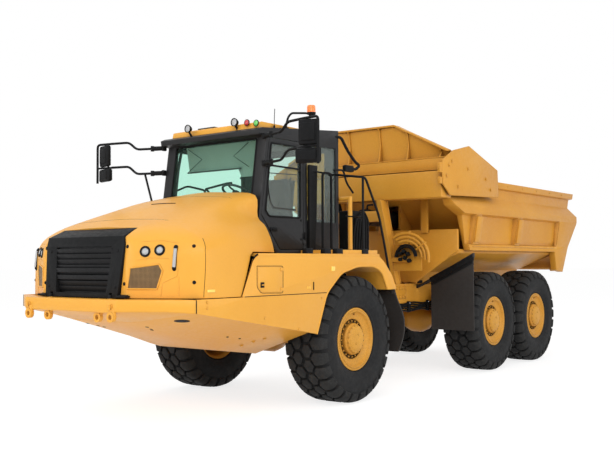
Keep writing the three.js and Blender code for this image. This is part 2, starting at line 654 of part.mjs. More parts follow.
function makeBodySide() {
  const x0 = bed.innerHalf;
  const wallShape = [
    [x0, 1500], [x0, bed.topZ], [bed.half, bed.topZ], [bed.half, 2960], [1425, 2945], [1425, 2790],
    [bed.ledgeHalf, 2620], [bed.ledgeHalf, 2505], [1430, 2480], [1385, 2050], [1450, 2030],
    [1450, bed.lowRailZ], [1450, 1500],
  ];
  const wall = prismY(wallShape, bed.frontY, 7520);
  const rib = (y) => prismY([[1380, 2040], [1450, 2035], [1525, 2510], [1400, 2510]], y, y + 190);
  const post = prismY([[1380, 1500], [1450, 1500], [1450, 2035], [1527, 2510], [1400, 2510]], 6640, 7520);
  return union([wall, rib(3200), rib(4760), post]).intersect(prismX(sideCut, x0 - 10, 1600));
}

function makeBodyFloor() {
  const x1 = bed.innerHalf - fit;
  const z = bed.floorZ;
  const slab = both(prismY([
    [0, z], [x1, z], [x1, 1900], [590, 1600], [590, rail.topZ + fit], [370, rail.topZ + fit],
    [370, 1480], [530, 1480], [530, 1650], [1150, 1880], [0, 1880],
  ], 2950, 6800));
  const bolster = prismY([[-x1, 2270], [-x1, 1940], [-590, 1440], [590, 1440], [x1, 1940], [x1, 2270]], 2900, 2960);
  return slab.add(bolster.intersect(prismX([[2890, 1400], [2890, 2300], [3000, 2300], [3000, 1400]], -x1, x1)));
}

function makeCrossBeam() {
  return box(-bed.half, bed.half, crossBeam.frontY, bed.frontY - fit, crossBeam.lowZ, crossBeam.topZ);
}

function makeHoseReel() {
  const y = 2250;
  const centre = [790, y, 1825];
  const ring = turned([[300, 0], [400, 0], [400, 110], [300, 110], [300, 0]], 'y', centre, 24);
  const hub = rod('y', 110, 0, 110, centre, 12);
  const spokes = [0, 60, 120].map((a) => {
    const g = new THREE.BoxGeometry(620, 50, 50);
    g.rotateY(THREE.MathUtils.degToRad(a));
    g.translate(centre[0], y + 60, centre[2]);
    return toManifold(g);
  });
  const bracket = box(rail.x + 35 + fit, 760, y + 60, y + 150, 1785, 1865);
  return cut(union([ring, hub, ...spokes, bracket]), [box(300, rail.x + 35 + fit, 2000, 2600, 1300, 2400)]);
}

function makeRearFlap() {
  const root = rail.x + rail.width / 2 + fit;
  const armTop = [[root, 1340], [root, 1400], [600, 1405], [1540, 1900], [1540, 1830]];
  const arm = prismY(armTop, 3030, 3090);
  const flap = prismY([[790, 700], [1530, 700], [1530, 1860], [790, 1500]], 3050, 3072);
  return arm.add(flap);
}

// ---- ejector ----
const stroke = 2700;
const stages = [
  { radius: ram.barrelRadius, start: 0, end: 1100 },
  { radius: 105, start: 60, end: 1130 },
  { radius: 84, start: 120, end: 1160 },
];
const ramRod = { radius: 63, start: 180 };

function makeRamTube(i) {
  const { radius, start, end } = stages[i];
  const innerRadius = (stages[i + 1] || ramRod).radius;
  return turned([
    [0, start], [radius, start], [radius, end], [innerRadius + 0.8, end], [innerRadius + 0.8, end - 60],
    [radius - 12, end - 60], [radius - 12, start + 40], [0, start + 40],
  ], 'y', [0, ram.y0, ram.z], 20);
}

function makeBlade() {
  const x1 = bed.innerHalf - 12;
  const rise = (points) => points.map(([a, z]) => [a, bed.topZ + z]);
  const face = prismX([
    [2460, blade.beamTopZ + 10], [2530, blade.beamTopZ + 10], [2900, 2950], [3500, 2350], [3780, 2150],
    [blade.footY, bed.floorZ + 12], [3850, bed.floorZ + 12], [3700, 2130], [3430, 2300], [2830, 2900],
  ], -x1, x1);
  const beam = box(-bed.half - 10, bed.half + 10, 2280, 2480, blade.beamLowZ, blade.beamTopZ);
  const peak = blade.peakHalf;
  const guard = prismY(rise([[-bed.half, 255], [bed.half, 255], [bed.half, 360], [peak, 820], [-peak, 820],
    [-bed.half, 360]]), 2420, 2460);
  const hood = prismY(rise([[-bed.half, 340], [-peak, 800], [peak, 800], [bed.half, 340], [bed.half, 370],
    [peak, 820], [-peak, 820], [-bed.half, 370]]), 2300, 2430);
  const wing = prismX(rise([[2050, 160], [2390, 340], [2900, 455], [3880, 166], [3910, -250], [2290, -305],
    [2080, -160]]), bed.ledgeHalf + 6, bed.ledgeHalf + 36);
  const shoe = box(bed.innerHalf + 20, bed.ledgeHalf + 10, 2420, 3700, bed.topZ + fit, bed.topZ + 110);
  const web = prismX(rise([[2420, 60], [2420, 255], [2900, 340], [3700, 100], [3700, 60]]), 1280, 1320)
    .add(box(1280, 1400, 2420, 3700, bed.topZ + 40, bed.topZ + 110));
  const rear = ram.y0 + ramRod.start;
  const piston = rod('y', ramRod.radius, rear, 3565, [0, 0, ram.z], 20);
  const housing = box(-240, 240, 3050, 3600, ram.z - 240, ram.z + 250);
  const pocket = box(-200, 200, 2600, 3560, ram.z - 200, ram.z + 210);
  return union([cut(face.add(housing), [pocket]), beam, guard, hood, both(union([wing, shoe, web])), piston]);
}

function makeTailgate() {
  const x1 = bed.innerHalf - 10;
  const leaf = prismX([[6830, 1640], [6878, 1604], [7478, 2407], [7430, 2443]], -x1, x1);
  const boss = both(rod('x', 30, x1 - 60, bed.innerHalf - fit, [0, gate.y, gate.z], 20));
  return leaf.add(boss);
}
const gate = { y: 6872, z: 1625 };

function moved(solid, dx, dy, dz) {
  const mesh = solid.getMesh();
  const by = [dx, dy, dz];
  return closed(Array.from(mesh.vertProperties, (v, i) => v + by[i % 3]), mesh.triVerts);
}

// ---- assembly ----
makeWheels();
add('front_frame', makeFrontFrame(), yellow);
add('front_axle', makeAxle(0), yellow);
add('engine', makeEngine(), iron);
add('bumper', makeBumper(), yellow);
add('belly_pan', makeBellyPan(), yellow);
const fender = makeFender();
add('fender_left', fender, yellow);
add('fender_right', mirrored(fender), yellow);
add('deck', makeDeck(), yellow);
const frontFlap = makeFrontFlap();
add('front_flap_left', frontFlap, trim);
add('front_flap_right', mirrored(frontFlap), trim);
add('hood', makeHood(), yellow);
add('grille_surround', makeSurround(), black);
add('cab_frame', makeCabFrame(), black);
add('cab_roof', makeRoofCap(), yellow);
add('windscreen', makeWindscreen(), pane);
add('side_glass_right', sidePane(rightPane, 25 - cab.half), pane);
add('side_glass_left', sidePane(quarterPane, cab.half - 30), pane);
add('rear_glass', box(fit - 650, 650 - fit, cab.rearY - 30, cab.rearY - 22, 2350 + fit, 3250 - fit), pane);
add('cab_door', makeDoor(), black);
add('door_glass', sidePane(doorPane, cab.half - 30), pane);
add('seat', makeSeat(), trim);
add('dashboard', makeDashboard(), trim);
const mirrorUnit = makeMirror();
add('mirror_left', mirrorUnit, black);
add('mirror_right', mirrored(mirrorUnit), black);
add('beacon', makeBeacon(), amber);
add('handrail', makeHandrail(), black);
add('hitch', makeHitch(), yellow);
const steerBarrel = makeSteerBarrel();
const steerRod = makeSteerRod();
add('steering_barrel_left', steerBarrel, black);
add('steering_barrel_right', mirrored(steerBarrel), black);
add('steering_rod_left', steerRod, steel);
add('steering_rod_right', mirrored(steerRod), steel);
add('rear_frame', makeRearFrame(), yellow);
add('centre_axle', makeAxle(centreAxleY), yellow);
add('rear_axle', makeAxle(rearAxleY), yellow);
const bogieBeam = makeBogieBeam();
add('bogie_beam_left', bogieBeam, yellow);
add('bogie_beam_right', mirrored(bogieBeam), yellow);
const bodySide = makeBodySide();
add('body_side_left', bodySide, yellow);
add('body_side_right', mirrored(bodySide), yellow);
add('body_floor', makeBodyFloor(), yellow);
add('cross_beam', makeCrossBeam(), yellow);
add('hose_reel', makeHoseReel(), yellow);
const rearFlap = makeRearFlap();
add('rear_flap_left', rearFlap, trim);
add('rear_flap_right', mirrored(rearFlap), trim);
add('ram_barrel', makeRamTube(0), black);
add('ram_stage_1', makeRamTube(1), steel);
add('ram_stage_2', makeRamTube(2), steel);
add('ejector_blade', makeBlade(), yellow);
add('tailgate', makeTailgate(), yellow);

export default group;
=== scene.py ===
import math
import random

import bmesh
import bpy
from mathutils import Matrix, Vector
from mathutils.bvhtree import BVHTree


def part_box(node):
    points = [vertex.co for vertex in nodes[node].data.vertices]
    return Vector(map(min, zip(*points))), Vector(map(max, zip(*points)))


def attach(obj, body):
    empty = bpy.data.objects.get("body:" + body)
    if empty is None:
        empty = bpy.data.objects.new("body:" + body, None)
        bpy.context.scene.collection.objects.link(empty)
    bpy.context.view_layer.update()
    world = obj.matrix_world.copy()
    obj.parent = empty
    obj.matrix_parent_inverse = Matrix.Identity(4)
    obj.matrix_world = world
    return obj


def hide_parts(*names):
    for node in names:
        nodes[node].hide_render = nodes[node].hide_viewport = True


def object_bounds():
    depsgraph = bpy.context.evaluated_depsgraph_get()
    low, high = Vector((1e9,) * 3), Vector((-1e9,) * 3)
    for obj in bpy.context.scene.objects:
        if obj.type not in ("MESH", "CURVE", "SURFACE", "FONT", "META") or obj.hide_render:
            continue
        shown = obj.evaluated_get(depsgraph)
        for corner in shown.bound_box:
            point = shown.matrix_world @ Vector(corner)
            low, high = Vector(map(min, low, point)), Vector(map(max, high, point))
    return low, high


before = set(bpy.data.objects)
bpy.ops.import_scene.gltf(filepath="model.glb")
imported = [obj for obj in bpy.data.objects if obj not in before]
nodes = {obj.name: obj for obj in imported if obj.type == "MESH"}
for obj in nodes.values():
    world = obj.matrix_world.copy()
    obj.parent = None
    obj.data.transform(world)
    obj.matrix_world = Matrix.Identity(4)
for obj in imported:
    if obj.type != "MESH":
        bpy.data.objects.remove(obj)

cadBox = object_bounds()
noseShift = -2.105          # lengths along Y below are counted from the front axle
random.seed(11)


def spot(x, y, z):
    return Vector((x, y + noseShift, z))


# materials
class Graph:
    # one material's node tree, with short names for the nodes used most
    def __init__(self, name):
        self.material = bpy.data.materials.new(name)
        self.material.use_nodes = True
        self.tree = self.material.node_tree
        self.shader = self.tree.nodes["Principled BSDF"]
        self.place = self.add("ShaderNodeTexCoord").outputs["Object"]

    def feed(self, socket, value):
        # a socket takes either a link or a plain value
        if isinstance(value, bpy.types.NodeSocket):
            self.tree.links.new(value, socket)
        else:
            socket.default_value = value

    def add(self, kind, inputs=None, **settings):
        node = self.tree.nodes.new(kind)
        for key, value in settings.items():
            setattr(node, key, value)
        for key, value in (inputs or {}).items():
            self.feed(node.inputs[key], value)
        return node

    def noise(self, scale, detail=3.0):
        inputs = {"Vector": self.place, "Scale": scale, "Detail": detail}
        return self.add("ShaderNodeTexNoise", inputs).outputs["Fac"]

    def wave(self, scale, direction, wobble=0.0):
        inputs = {"Vector": self.place, "Scale": scale, "Distortion": wobble}
        return self.add("ShaderNodeTexWave", inputs, bands_direction=direction).outputs["Fac"]

    def spread(self, value, low, high, toLow=0.0, toHigh=1.0):
        inputs = {"Value": value, "From Min": low, "From Max": high, "To Min": toLow, "To Max": toHigh}
        return self.add("ShaderNodeMapRange", inputs).outputs[0]

    def blend(self, factor, first, second):
        # the colour sockets of a Mix node are its inputs 6 and 7 and its output 2
        node = self.add("ShaderNodeMix", {"Factor": factor}, data_type="RGBA")
        for key, value in ((6, first), (7, second)):
            self.feed(node.inputs[key], value if isinstance(value, bpy.types.NodeSocket) else (*value, 1))
        return node.outputs[2]

    def times(self, first, second):
        return self.add("ShaderNodeMath", {0: first, 1: second}, operation="MULTIPLY").outputs[0]

    def bump(self, height, strength, distance):
        inputs = {"Height": height, "Strength": strength, "Distance": distance}
        return self.add("ShaderNodeBump", inputs).outputs[0]

    def set(self, **values):
        for key, value in values.items():
            self.feed(self.shader.inputs[key.replace("_", " ")], value)


def coatedMaterial(name, look):
    # a painted, cast or moulded surface: two tones, softened edges made lighter by wear and by a painted
    # highlight, dirt specks, and painted shade in the corners
    g = Graph(name)
    patches = g.spread(g.noise(look.get("patchScale", 1.4)), 0.35, 0.65)
    colour = g.blend(patches, look["colour"], look["shade"])
    speckle = g.spread(g.noise(look.get("speckleScale", 55), 5), 0.35, 0.7)
    colour = g.blend(g.times(speckle, look.get("speckle", 0.05)), colour, look["grimeAndShade"])
    soft = g.add("ShaderNodeBevel", {"Radius": look.get("edge", 0.006)}, samples=4).outputs[0]
    flat = g.add("ShaderNodeNewGeometry").outputs["True Normal"]
    agree = g.add("ShaderNodeVectorMath", {0: soft, 1: flat}, operation="DOT_PRODUCT").outputs["Value"]
    # edges turn lighter: partly wear, partly a painted highlight
    edge = g.times(g.spread(agree, 0.995, 0.86), g.spread(g.noise(14, 6), 0.42, 0.6, 0.25, 1))
    colour = g.blend(g.times(edge, look.get("wearAndHighlightAmount", 0.3)), colour, look["wearAndHighlight"])
    # ambient occlusion darkens corners and recesses: painted shade
    corners = g.add("ShaderNodeAmbientOcclusion", {"Distance": look.get("reach", 0.14)},
                    samples=4).outputs["AO"]
    grimeAndShade = g.times(g.spread(corners, 0.75, 0.25), look.get("cornerShadeAmount", 0.45))
    colour = g.blend(grimeAndShade, colour, look["grimeAndShade"])
    rough = g.spread(g.noise(look.get("roughScale", 22), 4), 0.3, 0.7,
                     look["roughness"] - look["roughSpread"], look["roughness"] + look["roughSpread"])
    relief = g.add("ShaderNodeBump", {"Height": g.noise(look.get("bumpScale", 240), 2), "Normal": soft,
                                      "Strength": look.get("bump", 0.06), "Distance": 0.002}).outputs[0]
    g.set(Base_Color=colour, Roughness=rough, Normal=relief, Metallic=look.get("metallic", 0.0),
          Coat_Weight=look.get("coat", 0.0), Coat_Roughness=0.12, Specular_IOR_Level=look.get("gloss", 0.5))
    return g.material


paints = {
    "yellowPaint": dict(colour=(0.86, 0.415, 0.05), shade=(0.83, 0.39, 0.045), grimeAndShade=(0.3, 0.14, 0.03),
                        wearAndHighlight=(0.95, 0.62, 0.2), roughness=0.45, roughSpread=0.06, coat=0.06, speckle=0.05,
                        gloss=0.3, wearAndHighlightAmount=0.35, cornerShadeAmount=0.55),
    # bodyPaint: darker than the yellow, and its painted shade in the corners reaches further and is stronger
    "bodyPaint": dict(colour=(0.73, 0.335, 0.032), shade=(0.68, 0.3, 0.028), grimeAndShade=(0.16, 0.07, 0.014),
                      wearAndHighlight=(0.92, 0.58, 0.19), roughness=0.5, roughSpread=0.08, coat=0.08, speckle=0.1,
                      wearAndHighlightAmount=0.35, cornerShadeAmount=0.68, reach=0.3, bump=0.12, bumpScale=120, gloss=0.3),
    # rimPaint: a near-black corner colour at full strength, a deep painted shade in the wheel's recesses
    "rimPaint": dict(colour=(0.78, 0.38, 0.045), shade=(0.66, 0.31, 0.036), grimeAndShade=(0.05, 0.028, 0.01),
                     wearAndHighlight=(0.7, 0.4, 0.12), roughness=0.55, roughSpread=0.08, coat=0.05, speckle=0.18,
                     wearAndHighlightAmount=0.3, cornerShadeAmount=1.0, reach=0.13, bump=0.12, bumpScale=120, gloss=0.3),
    "blackPaint": dict(colour=(0.012, 0.0125, 0.014), shade=(0.017, 0.0175, 0.019),
                       grimeAndShade=(0.012, 0.012, 0.012), wearAndHighlight=(0.08, 0.08, 0.085), roughness=0.42,
                       roughSpread=0.07, wearAndHighlightAmount=0.5, gloss=0.2),
    "plasticBlack": dict(colour=(0.008, 0.0083, 0.009), shade=(0.012, 0.0125, 0.013),
                         grimeAndShade=(0.01, 0.01, 0.01), wearAndHighlight=(0.05, 0.05, 0.055), roughness=0.55, roughSpread=0.08,
                         bump=0.22, bumpScale=420, wearAndHighlightAmount=0.4, speckleScale=120, gloss=0.08),
    "grilleBlack": dict(colour=(0.006, 0.0062, 0.007), shade=(0.009, 0.009, 0.01),
                        grimeAndShade=(0.006, 0.006, 0.006), wearAndHighlight=(0.04, 0.04, 0.042), roughness=0.5,
                        roughSpread=0.08, bump=0.15, bumpScale=300, wearAndHighlightAmount=0.3, gloss=0.15),
    "castIron": dict(colour=(0.09, 0.085, 0.078), shade=(0.12, 0.11, 0.1), grimeAndShade=(0.035, 0.028, 0.02),
                     wearAndHighlight=(0.24, 0.22, 0.2), roughness=0.62, roughSpread=0.12, metallic=0.35, bump=0.4,
                     bumpScale=90, wearAndHighlightAmount=0.5),
    "tyreRubber": dict(colour=(0.013, 0.0135, 0.0145), shade=(0.018, 0.018, 0.0185),
                       grimeAndShade=(0.006, 0.006, 0.006), wearAndHighlight=(0.06, 0.059, 0.057), roughness=0.78,
                       roughSpread=0.08, bump=0.3, bumpScale=160, wearAndHighlightAmount=0.55, edge=0.004, cornerShadeAmount=0.9,
                       reach=0.05, speckle=0.25, patchScale=5, gloss=0.22),
    "treadRubber": dict(colour=(0.023, 0.023, 0.0235), shade=(0.03, 0.03, 0.0295),
                        grimeAndShade=(0.004, 0.004, 0.004), wearAndHighlight=(0.085, 0.083, 0.08), roughness=0.84,
                        roughSpread=0.08, bump=0.5, bumpScale=210, wearAndHighlightAmount=0.5, edge=0.004, cornerShadeAmount=0.9,
                        reach=0.05, speckle=0.3, patchScale=9, gloss=0.22),
    "flapRubber": dict(colour=(0.024, 0.02, 0.018), shade=(0.03, 0.025, 0.022), grimeAndShade=(0.015, 0.013, 0.012),
                       wearAndHighlight=(0.07, 0.066, 0.06), roughness=0.66, roughSpread=0.08, bump=0.2, bumpScale=70,
                       wearAndHighlightAmount=0.3, speckle=0.2, gloss=0.3),
    "cabTrim": dict(colour=(0.05, 0.052, 0.055), shade=(0.065, 0.067, 0.07), grimeAndShade=(0.02, 0.02, 0.02),
                    wearAndHighlight=(0.1, 0.1, 0.105), roughness=0.7, roughSpread=0.06, bump=0.3, bumpScale=500,
                    wearAndHighlightAmount=0.2),
    "brightSteel": dict(colour=(0.62, 0.63, 0.65), shade=(0.5, 0.51, 0.53), grimeAndShade=(0.12, 0.11, 0.1),
                        wearAndHighlight=(0.75, 0.75, 0.76), roughness=0.24, roughSpread=0.08, metallic=1.0, bump=0.08,
                        bumpScale=300, wearAndHighlightAmount=0.3, roughScale=60),
    "blindCloth": dict(colour=(0.36, 0.39, 0.37), shade=(0.3, 0.33, 0.31), grimeAndShade=(0.12, 0.13, 0.12),
                       wearAndHighlight=(0.45, 0.48, 0.46), roughness=0.85, roughSpread=0.05, bump=0.5, bumpScale=600,
                       wearAndHighlightAmount=0.2),
}
materials = {name: coatedMaterial(name, look) for name, look in paints.items()}


def fabricMaterial(name, dark, light):
    # woven cover with a fine two-way thread
    g = Graph(name)
    thread = g.times(g.wave(190.0, "X", 1.5), g.wave(190.0, "Z", 1.5))
    colour = g.blend(g.times(thread, g.spread(g.noise(6), 0.3, 0.7, 0.4, 1)), dark, light)
    g.set(Base_Color=colour, Roughness=0.9, Normal=g.bump(thread, 0.35, 0.001), Sheen_Weight=0.3,
          Sheen_Roughness=0.4)
    return g.material


def glassMaterial(name, tintAndReflection, through, clear, roughness=0.04):
    # tinted pane: part of it lets tinted light straight through, with a little haze in its reflection; the
    # rest is a matt layer in the pane's colour, which on the paler side panes is a painted reflection
    g = Graph(name)
    haze = g.spread(g.noise(5, 4), 0.3, 0.7, roughness, roughness + 0.05)
    colour = g.blend(g.spread(g.noise(1.2), 0.3, 0.7, 0, 0.5), tintAndReflection, tuple(c * 0.8 for c in tintAndReflection))
    g.set(Base_Color=colour, Roughness=haze, Normal=g.bump(g.noise(2.5, 1), 0.02, 0.01),
          Specular_IOR_Level=0.5)
    clearPart = g.add("ShaderNodeBsdfTransparent", {"Color": (*through, 1)})
    mixed = g.add("ShaderNodeMixShader", {0: clear, 1: g.shader.outputs[0], 2: clearPart.outputs[0]})
    g.tree.links.new(mixed.outputs[0], g.tree.nodes["Material Output"].inputs["Surface"])
    return g.material


def lensMaterial(name, colour, glow):
    # moulded lamp lens with fine flutes and a faint glow of its own; on a reflector the glow is painted light
    g = Graph(name)
    flutes = g.wave(55.0, "Z", 0.4)
    tone = g.blend(g.times(flutes, 0.5), colour, tuple(min(1, c * 1.25 + 0.02) for c in colour))
    relief = g.bump(flutes, 0.3, 0.002)
    g.set(Base_Color=tone, Roughness=g.spread(g.noise(30), 0.3, 0.7, 0.08, 0.2), Normal=relief,
          Coat_Weight=0.6, Coat_Roughness=0.05, Emission_Color=(*colour, 1), Emission_Strength=glow)
    return g.material


def meshMaterial(name, wire, hole, scale):
    # woven wire screen, drawn as holes between the wires; the holes are painted dark, a painted shade of the
    # space behind
    g = Graph(name)
    both = {0: g.wave(scale, "X"), 1: g.wave(scale, "Z")}
    wires = g.spread(g.add("ShaderNodeMath", both, operation="MAXIMUM").outputs[0], 0.6, 0.85)
    colour = g.blend(g.times(wires, g.spread(g.noise(8), 0.3, 0.7, 0.7, 1)), hole, wire)
    g.set(Base_Color=colour, Roughness=0.55, Normal=g.bump(wires, 0.8, 0.004), Metallic=0.2)
    return g.material


otherFinishes = {
    "seatCloth": (fabricMaterial, (0.02, 0.021, 0.023), (0.06, 0.062, 0.066)),
    "screenGlass": (glassMaterial, (0.2, 0.3, 0.26), (0.87, 1.0, 0.95), 0.95),
    # sideGlass: its pale grey matt share is a painted reflection
    "sideGlass": (glassMaterial, (0.4, 0.44, 0.42), (0.93, 1.0, 0.97), 0.79),
    "amberLens": (lensMaterial, (0.95, 0.2, 0.02), 0.25),
    "redLens": (lensMaterial, (0.5, 0.015, 0.02), 0.05),
    "greenLens": (lensMaterial, (0.1, 0.5, 0.08), 0.08),
    "clearLens": (lensMaterial, (0.4, 0.41, 0.42), 0.01),
    # the reflector glows though it is no lamp: painted light
    "reflector": (lensMaterial, (0.95, 0.6, 0.08), 0.12),
    "ventScreen": (meshMaterial, (0.34, 0.2, 0.07), (0.03, 0.018, 0.01), 26.0),
    "grilleScreen": (meshMaterial, (0.035, 0.036, 0.038), (0.004, 0.004, 0.004), 20.0),
}
for name, (make, *values) in otherFinishes.items():
    materials[name] = make(name, *values)

print("materials ready")


# mesh helpers
def unique(items):
    # in the order met, so that every run makes the same mesh
    return list(dict.fromkeys(items))


def linked(name, data):
    # a new object in the scene
    made = bpy.data.objects.new(name, data)
    bpy.context.scene.collection.objects.link(made)
    return made


def meshOf(name, bm):
    bmesh.ops.recalc_face_normals(bm, faces=bm.faces)
    mesh = bpy.data.meshes.new(name)
    bm.to_mesh(mesh)
    bm.free()
    return mesh


def newPiece(name, bm, body, material, replaced=(), **settings):
    return placePiece(name, meshOf(name, bm), body, material, replaced, **settings)


def placePiece(name, mesh, body, material, replaced=(), slotName=None, smooth=35, location=None):
    # material is one finish, or a list of those that the mesh's faces number
    finishes = material if isinstance(material, list) else [material]
    piece = linked(name, mesh)
    if location is not None:
        piece.location = location
    if not mesh.materials:
        for finish in finishes:
            mesh.materials.append(materials[finish])
    mesh.polygons.foreach_set("use_smooth", [True] * len(mesh.polygons))
    mesh.set_sharp_from_angle(angle=math.radians(smooth))
    bpy.context.view_layer.update()
    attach(piece, body)
    if replaced:
        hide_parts(*replaced)
    return piece


def bakeModifiers(piece):
    # the piece keeps the result of its modifiers as its mesh
    bpy.context.view_layer.update()
    result = bpy.data.meshes.new_from_object(piece.evaluated_get(bpy.context.evaluated_depsgraph_get()))
    piece.modifiers.clear()
    piece.data = result
    return result


def softened(name, node, body, material, width):
    # the CAD piece again, with its flat faces joined up and its edges rounded by width
    bm = bmesh.new()
    bm.from_mesh(nodes[node].data)
    bmesh.ops.remove_doubles(bm, verts=bm.verts, dist=0.00002)
    bmesh.ops.dissolve_limit(bm, angle_limit=math.radians(1.0), verts=bm.verts, edges=bm.edges)
    if width:
        sharp = [e for e in bm.edges if len(e.link_faces) == 2 and e.calc_face_angle(0) > math.radians(30)
                 and e.calc_length() > width * 1.2]
        bmesh.ops.bevel(bm, geom=sharp, offset=width, segments=2, profile=0.5, affect="EDGES",
                        clamp_overlap=True, miter_outer="ARC")
    return newPiece(name, bm, body, material, (node,), smooth=40)


def addBox(bm, centre, size, bevel=0.004, turn=None, slot=0):
    start = len(bm.verts)
    made = bmesh.ops.create_cube(bm, size=1)["verts"]
    bmesh.ops.scale(bm, verts=made, vec=Vector(size))
    if bevel:
        edges = unique(e for v in made for e in v.link_edges)
        bmesh.ops.bevel(bm, geom=edges, offset=bevel, segments=2, profile=0.5, affect="EDGES")
    bm.verts.ensure_lookup_table()
    made = bm.verts[start:]
    matrix = Matrix.Translation(centre) @ (turn.to_4x4() if turn else Matrix.Identity(4))
    bmesh.ops.transform(bm, matrix=matrix, verts=made)
    for face in {f for v in made for f in v.link_faces}:
        face.material_index = slot


def onCircle(radius, turn):
    return radius * math.cos(turn), radius * math.sin(turn)


def turnedRing(bm, profile, matrix, segments=48, closedLoop=False):
    # profile of (radius, height); height runs along the matrix's own Z
    rings = []
    for radius, height in profile:
        if radius < 1e-6:
            rings.append([bm.verts.new(matrix @ Vector((0, 0, height)))])
        else:
            turns = [2 * math.pi * k / segments for k in range(segments)]
            rings.append([bm.verts.new(matrix @ Vector((*onCircle(radius, turn), height))) for turn in turns])
    for low, high in zip(rings, rings[1:] + (rings[:1] if closedLoop else [])):
        for k in range(segments):
            a, b = low[k % len(low)], low[(k + 1) % len(low)]
            c, d = high[(k + 1) % len(high)], high[k % len(high)]
            corners = unique([a, b, c, d])
            if len(corners) > 2:
                bm.faces.new(corners)


def pointing(position, direction, roll=0.0):
    # frame at position whose Z looks along direction
    turn = Vector(direction).normalized().to_track_quat("Z", "Y").to_matrix().to_4x4()
    return Matrix.Translation(position) @ turn @ Matrix.Rotation(roll, 4, "Z")


def addBolt(bm, position, direction, radius=0.014, height=0.012):
    # six-sided head on a thin washer, turned at random
    matrix = pointing(position, direction, random.uniform(0, 1))
    rim, thin, low = radius * 1.5, height * 0.25, height * 0.2
    turnedRing(bm, [(0, 0), (rim, 0), (rim, thin), (0, thin)], matrix, 16)
    head = [(0, low), (radius, low), (radius, height * 0.85), (radius * 0.85, height), (0, height)]
    turnedRing(bm, head, matrix, 6)


def roundedPath(points, radius, steps=5):
    points = [Vector(p) for p in points]
    path = [points[0]]
    for before, corner, after in zip(points, points[1:], points[2:]):
        reach = min(radius, (corner - before).length * 0.45, (after - corner).length * 0.45)
        a = corner + (before - corner).normalized() * reach
        b = corner + (after - corner).normalized() * reach
        for k in range(steps + 1):
            t = k / steps
            path.append(a * (1 - t) ** 2 + corner * 2 * t * (1 - t) + b * t * t)
    path.append(points[-1])
    return path


def addTube(bm, path, radius, count=12):
    # round tube along a path, with closed ends
    path = [Vector(p) for p in path]
    across = (path[1] - path[0]).normalized().orthogonal().normalized()
    rings = []
    for k, point in enumerate(path):
        heading = (path[min(k + 1, len(path) - 1)] - path[max(k - 1, 0)]).normalized()
        across = (across - heading * across.dot(heading)).normalized()
        beside = heading.cross(across)
        ring = []
        for i in range(count):
            a, b = onCircle(radius, 2 * math.pi * i / count)
            ring.append(bm.verts.new(point + across * a + beside * b))
        rings.append(ring)
    for low, high in zip(rings, rings[1:]):
        for i in range(count):
            j = (i + 1) % count
            bm.faces.new((low[i], low[j], high[j], high[i]))
    bm.faces.new(list(reversed(rings[0])))
    bm.faces.new(rings[-1])


def fillRows(bm, rows):
    # faces between rows of points
    for a, b in zip(rows, rows[1:]):
        for k in range(len(a) - 1):
            bm.faces.new((a[k], a[k + 1], b[k + 1], b[k]))


def addPlate(bm, outline, normal, thickness, bevel=0.003):
    # flat plate with its outline on one side and its thickness along normal
    normal = Vector(normal).normalized()
    low = [bm.verts.new(Vector(p)) for p in outline]
    high = [bm.verts.new(Vector(p) + normal * thickness) for p in outline]
    count = len(outline)
    faces = [bm.faces.new(list(reversed(low))), bm.faces.new(high)]
    for k in range(count):
        faces.append(bm.faces.new((low[k], low[(k + 1) % count], high[(k + 1) % count], high[k])))
    bmesh.ops.recalc_face_normals(bm, faces=faces)
    if bevel:
        edges = unique(e for f in faces for e in f.edges)
        bmesh.ops.bevel(bm, geom=edges, offset=bevel, segments=2, profile=0.5, affect="EDGES")


def addBar(bm, points, radius, count=10, bend=0, steps=4, side=1):
    # tube through points counted from the front axle; side -1 puts it on the right, bend rounds its corners
    path = [spot(side * x, y, z) for x, y, z in points]
    addTube(bm, roundedPath(path, bend, steps) if bend else path, radius, count)


bothSides = ((1, "left"), (-1, "right"))


# tyres
tyreLook = {
    "pitches": 26,           # blocks round the tyre
    "groove": 0.04,
    "treadDepth": 0.036,
    "blockEdge": 0.006,
    "blockRoot": 0.006,      # how deep a block stands in the carcass
    "shoulder": (0.25, 0.085, 0.5),     # where the blocks get lower, over what length, by what share
    "bends": (0.2, 0.236, 0.268, 0.302),    # cuts across a block, so that it follows the carcass
    "radius": 0.7998,
    "pitchRadius": 0.8,
    "segments": 104,
}
# half profile of the bare carcass, from the crown to the bead
carcass = [
    (0, 0.764), (0.12, 0.763), (0.2, 0.758), (0.236, 0.747), (0.262, 0.728), (0.278, 0.7), (0.288, 0.665),
    (0.2925, 0.64), (0.2915, 0.625), (0.2945, 0.6), (0.2955, 0.57), (0.294, 0.54), (0.289, 0.51),
    (0.2865, 0.503), (0.2865, 0.495), (0.282, 0.488), (0.275, 0.462), (0.266, 0.44), (0.262, 0.43),
    (0.262, 0.42), (0.25, 0.405), (0.235, 0.4),
]
beadInside = [(0.225, 0.41), (-0.225, 0.41)]


def carcassPoint(along, height):
    # point on the carcass at an arc length from the crown, raised by height along its normal
    left = -1 if along < 0 else 1
    rest = abs(along)
    for (xa, ra), (xb, rb) in zip(carcass, carcass[1:]):
        step = math.hypot(xb - xa, rb - ra)
        if rest <= step:
            break
        rest -= step
    t = rest / step
    nx, nr = (ra - rb) / step, (xb - xa) / step
    return left * (xa + (xb - xa) * t + nx * height), ra + (rb - ra) * t + nr * height


def treadDepthAt(along):
    start, length, loss = tyreLook["shoulder"]
    fade = min(1, max(0, (abs(along) - start) / length))
    return tyreLook["treadDepth"] * (1 - loss * fade)


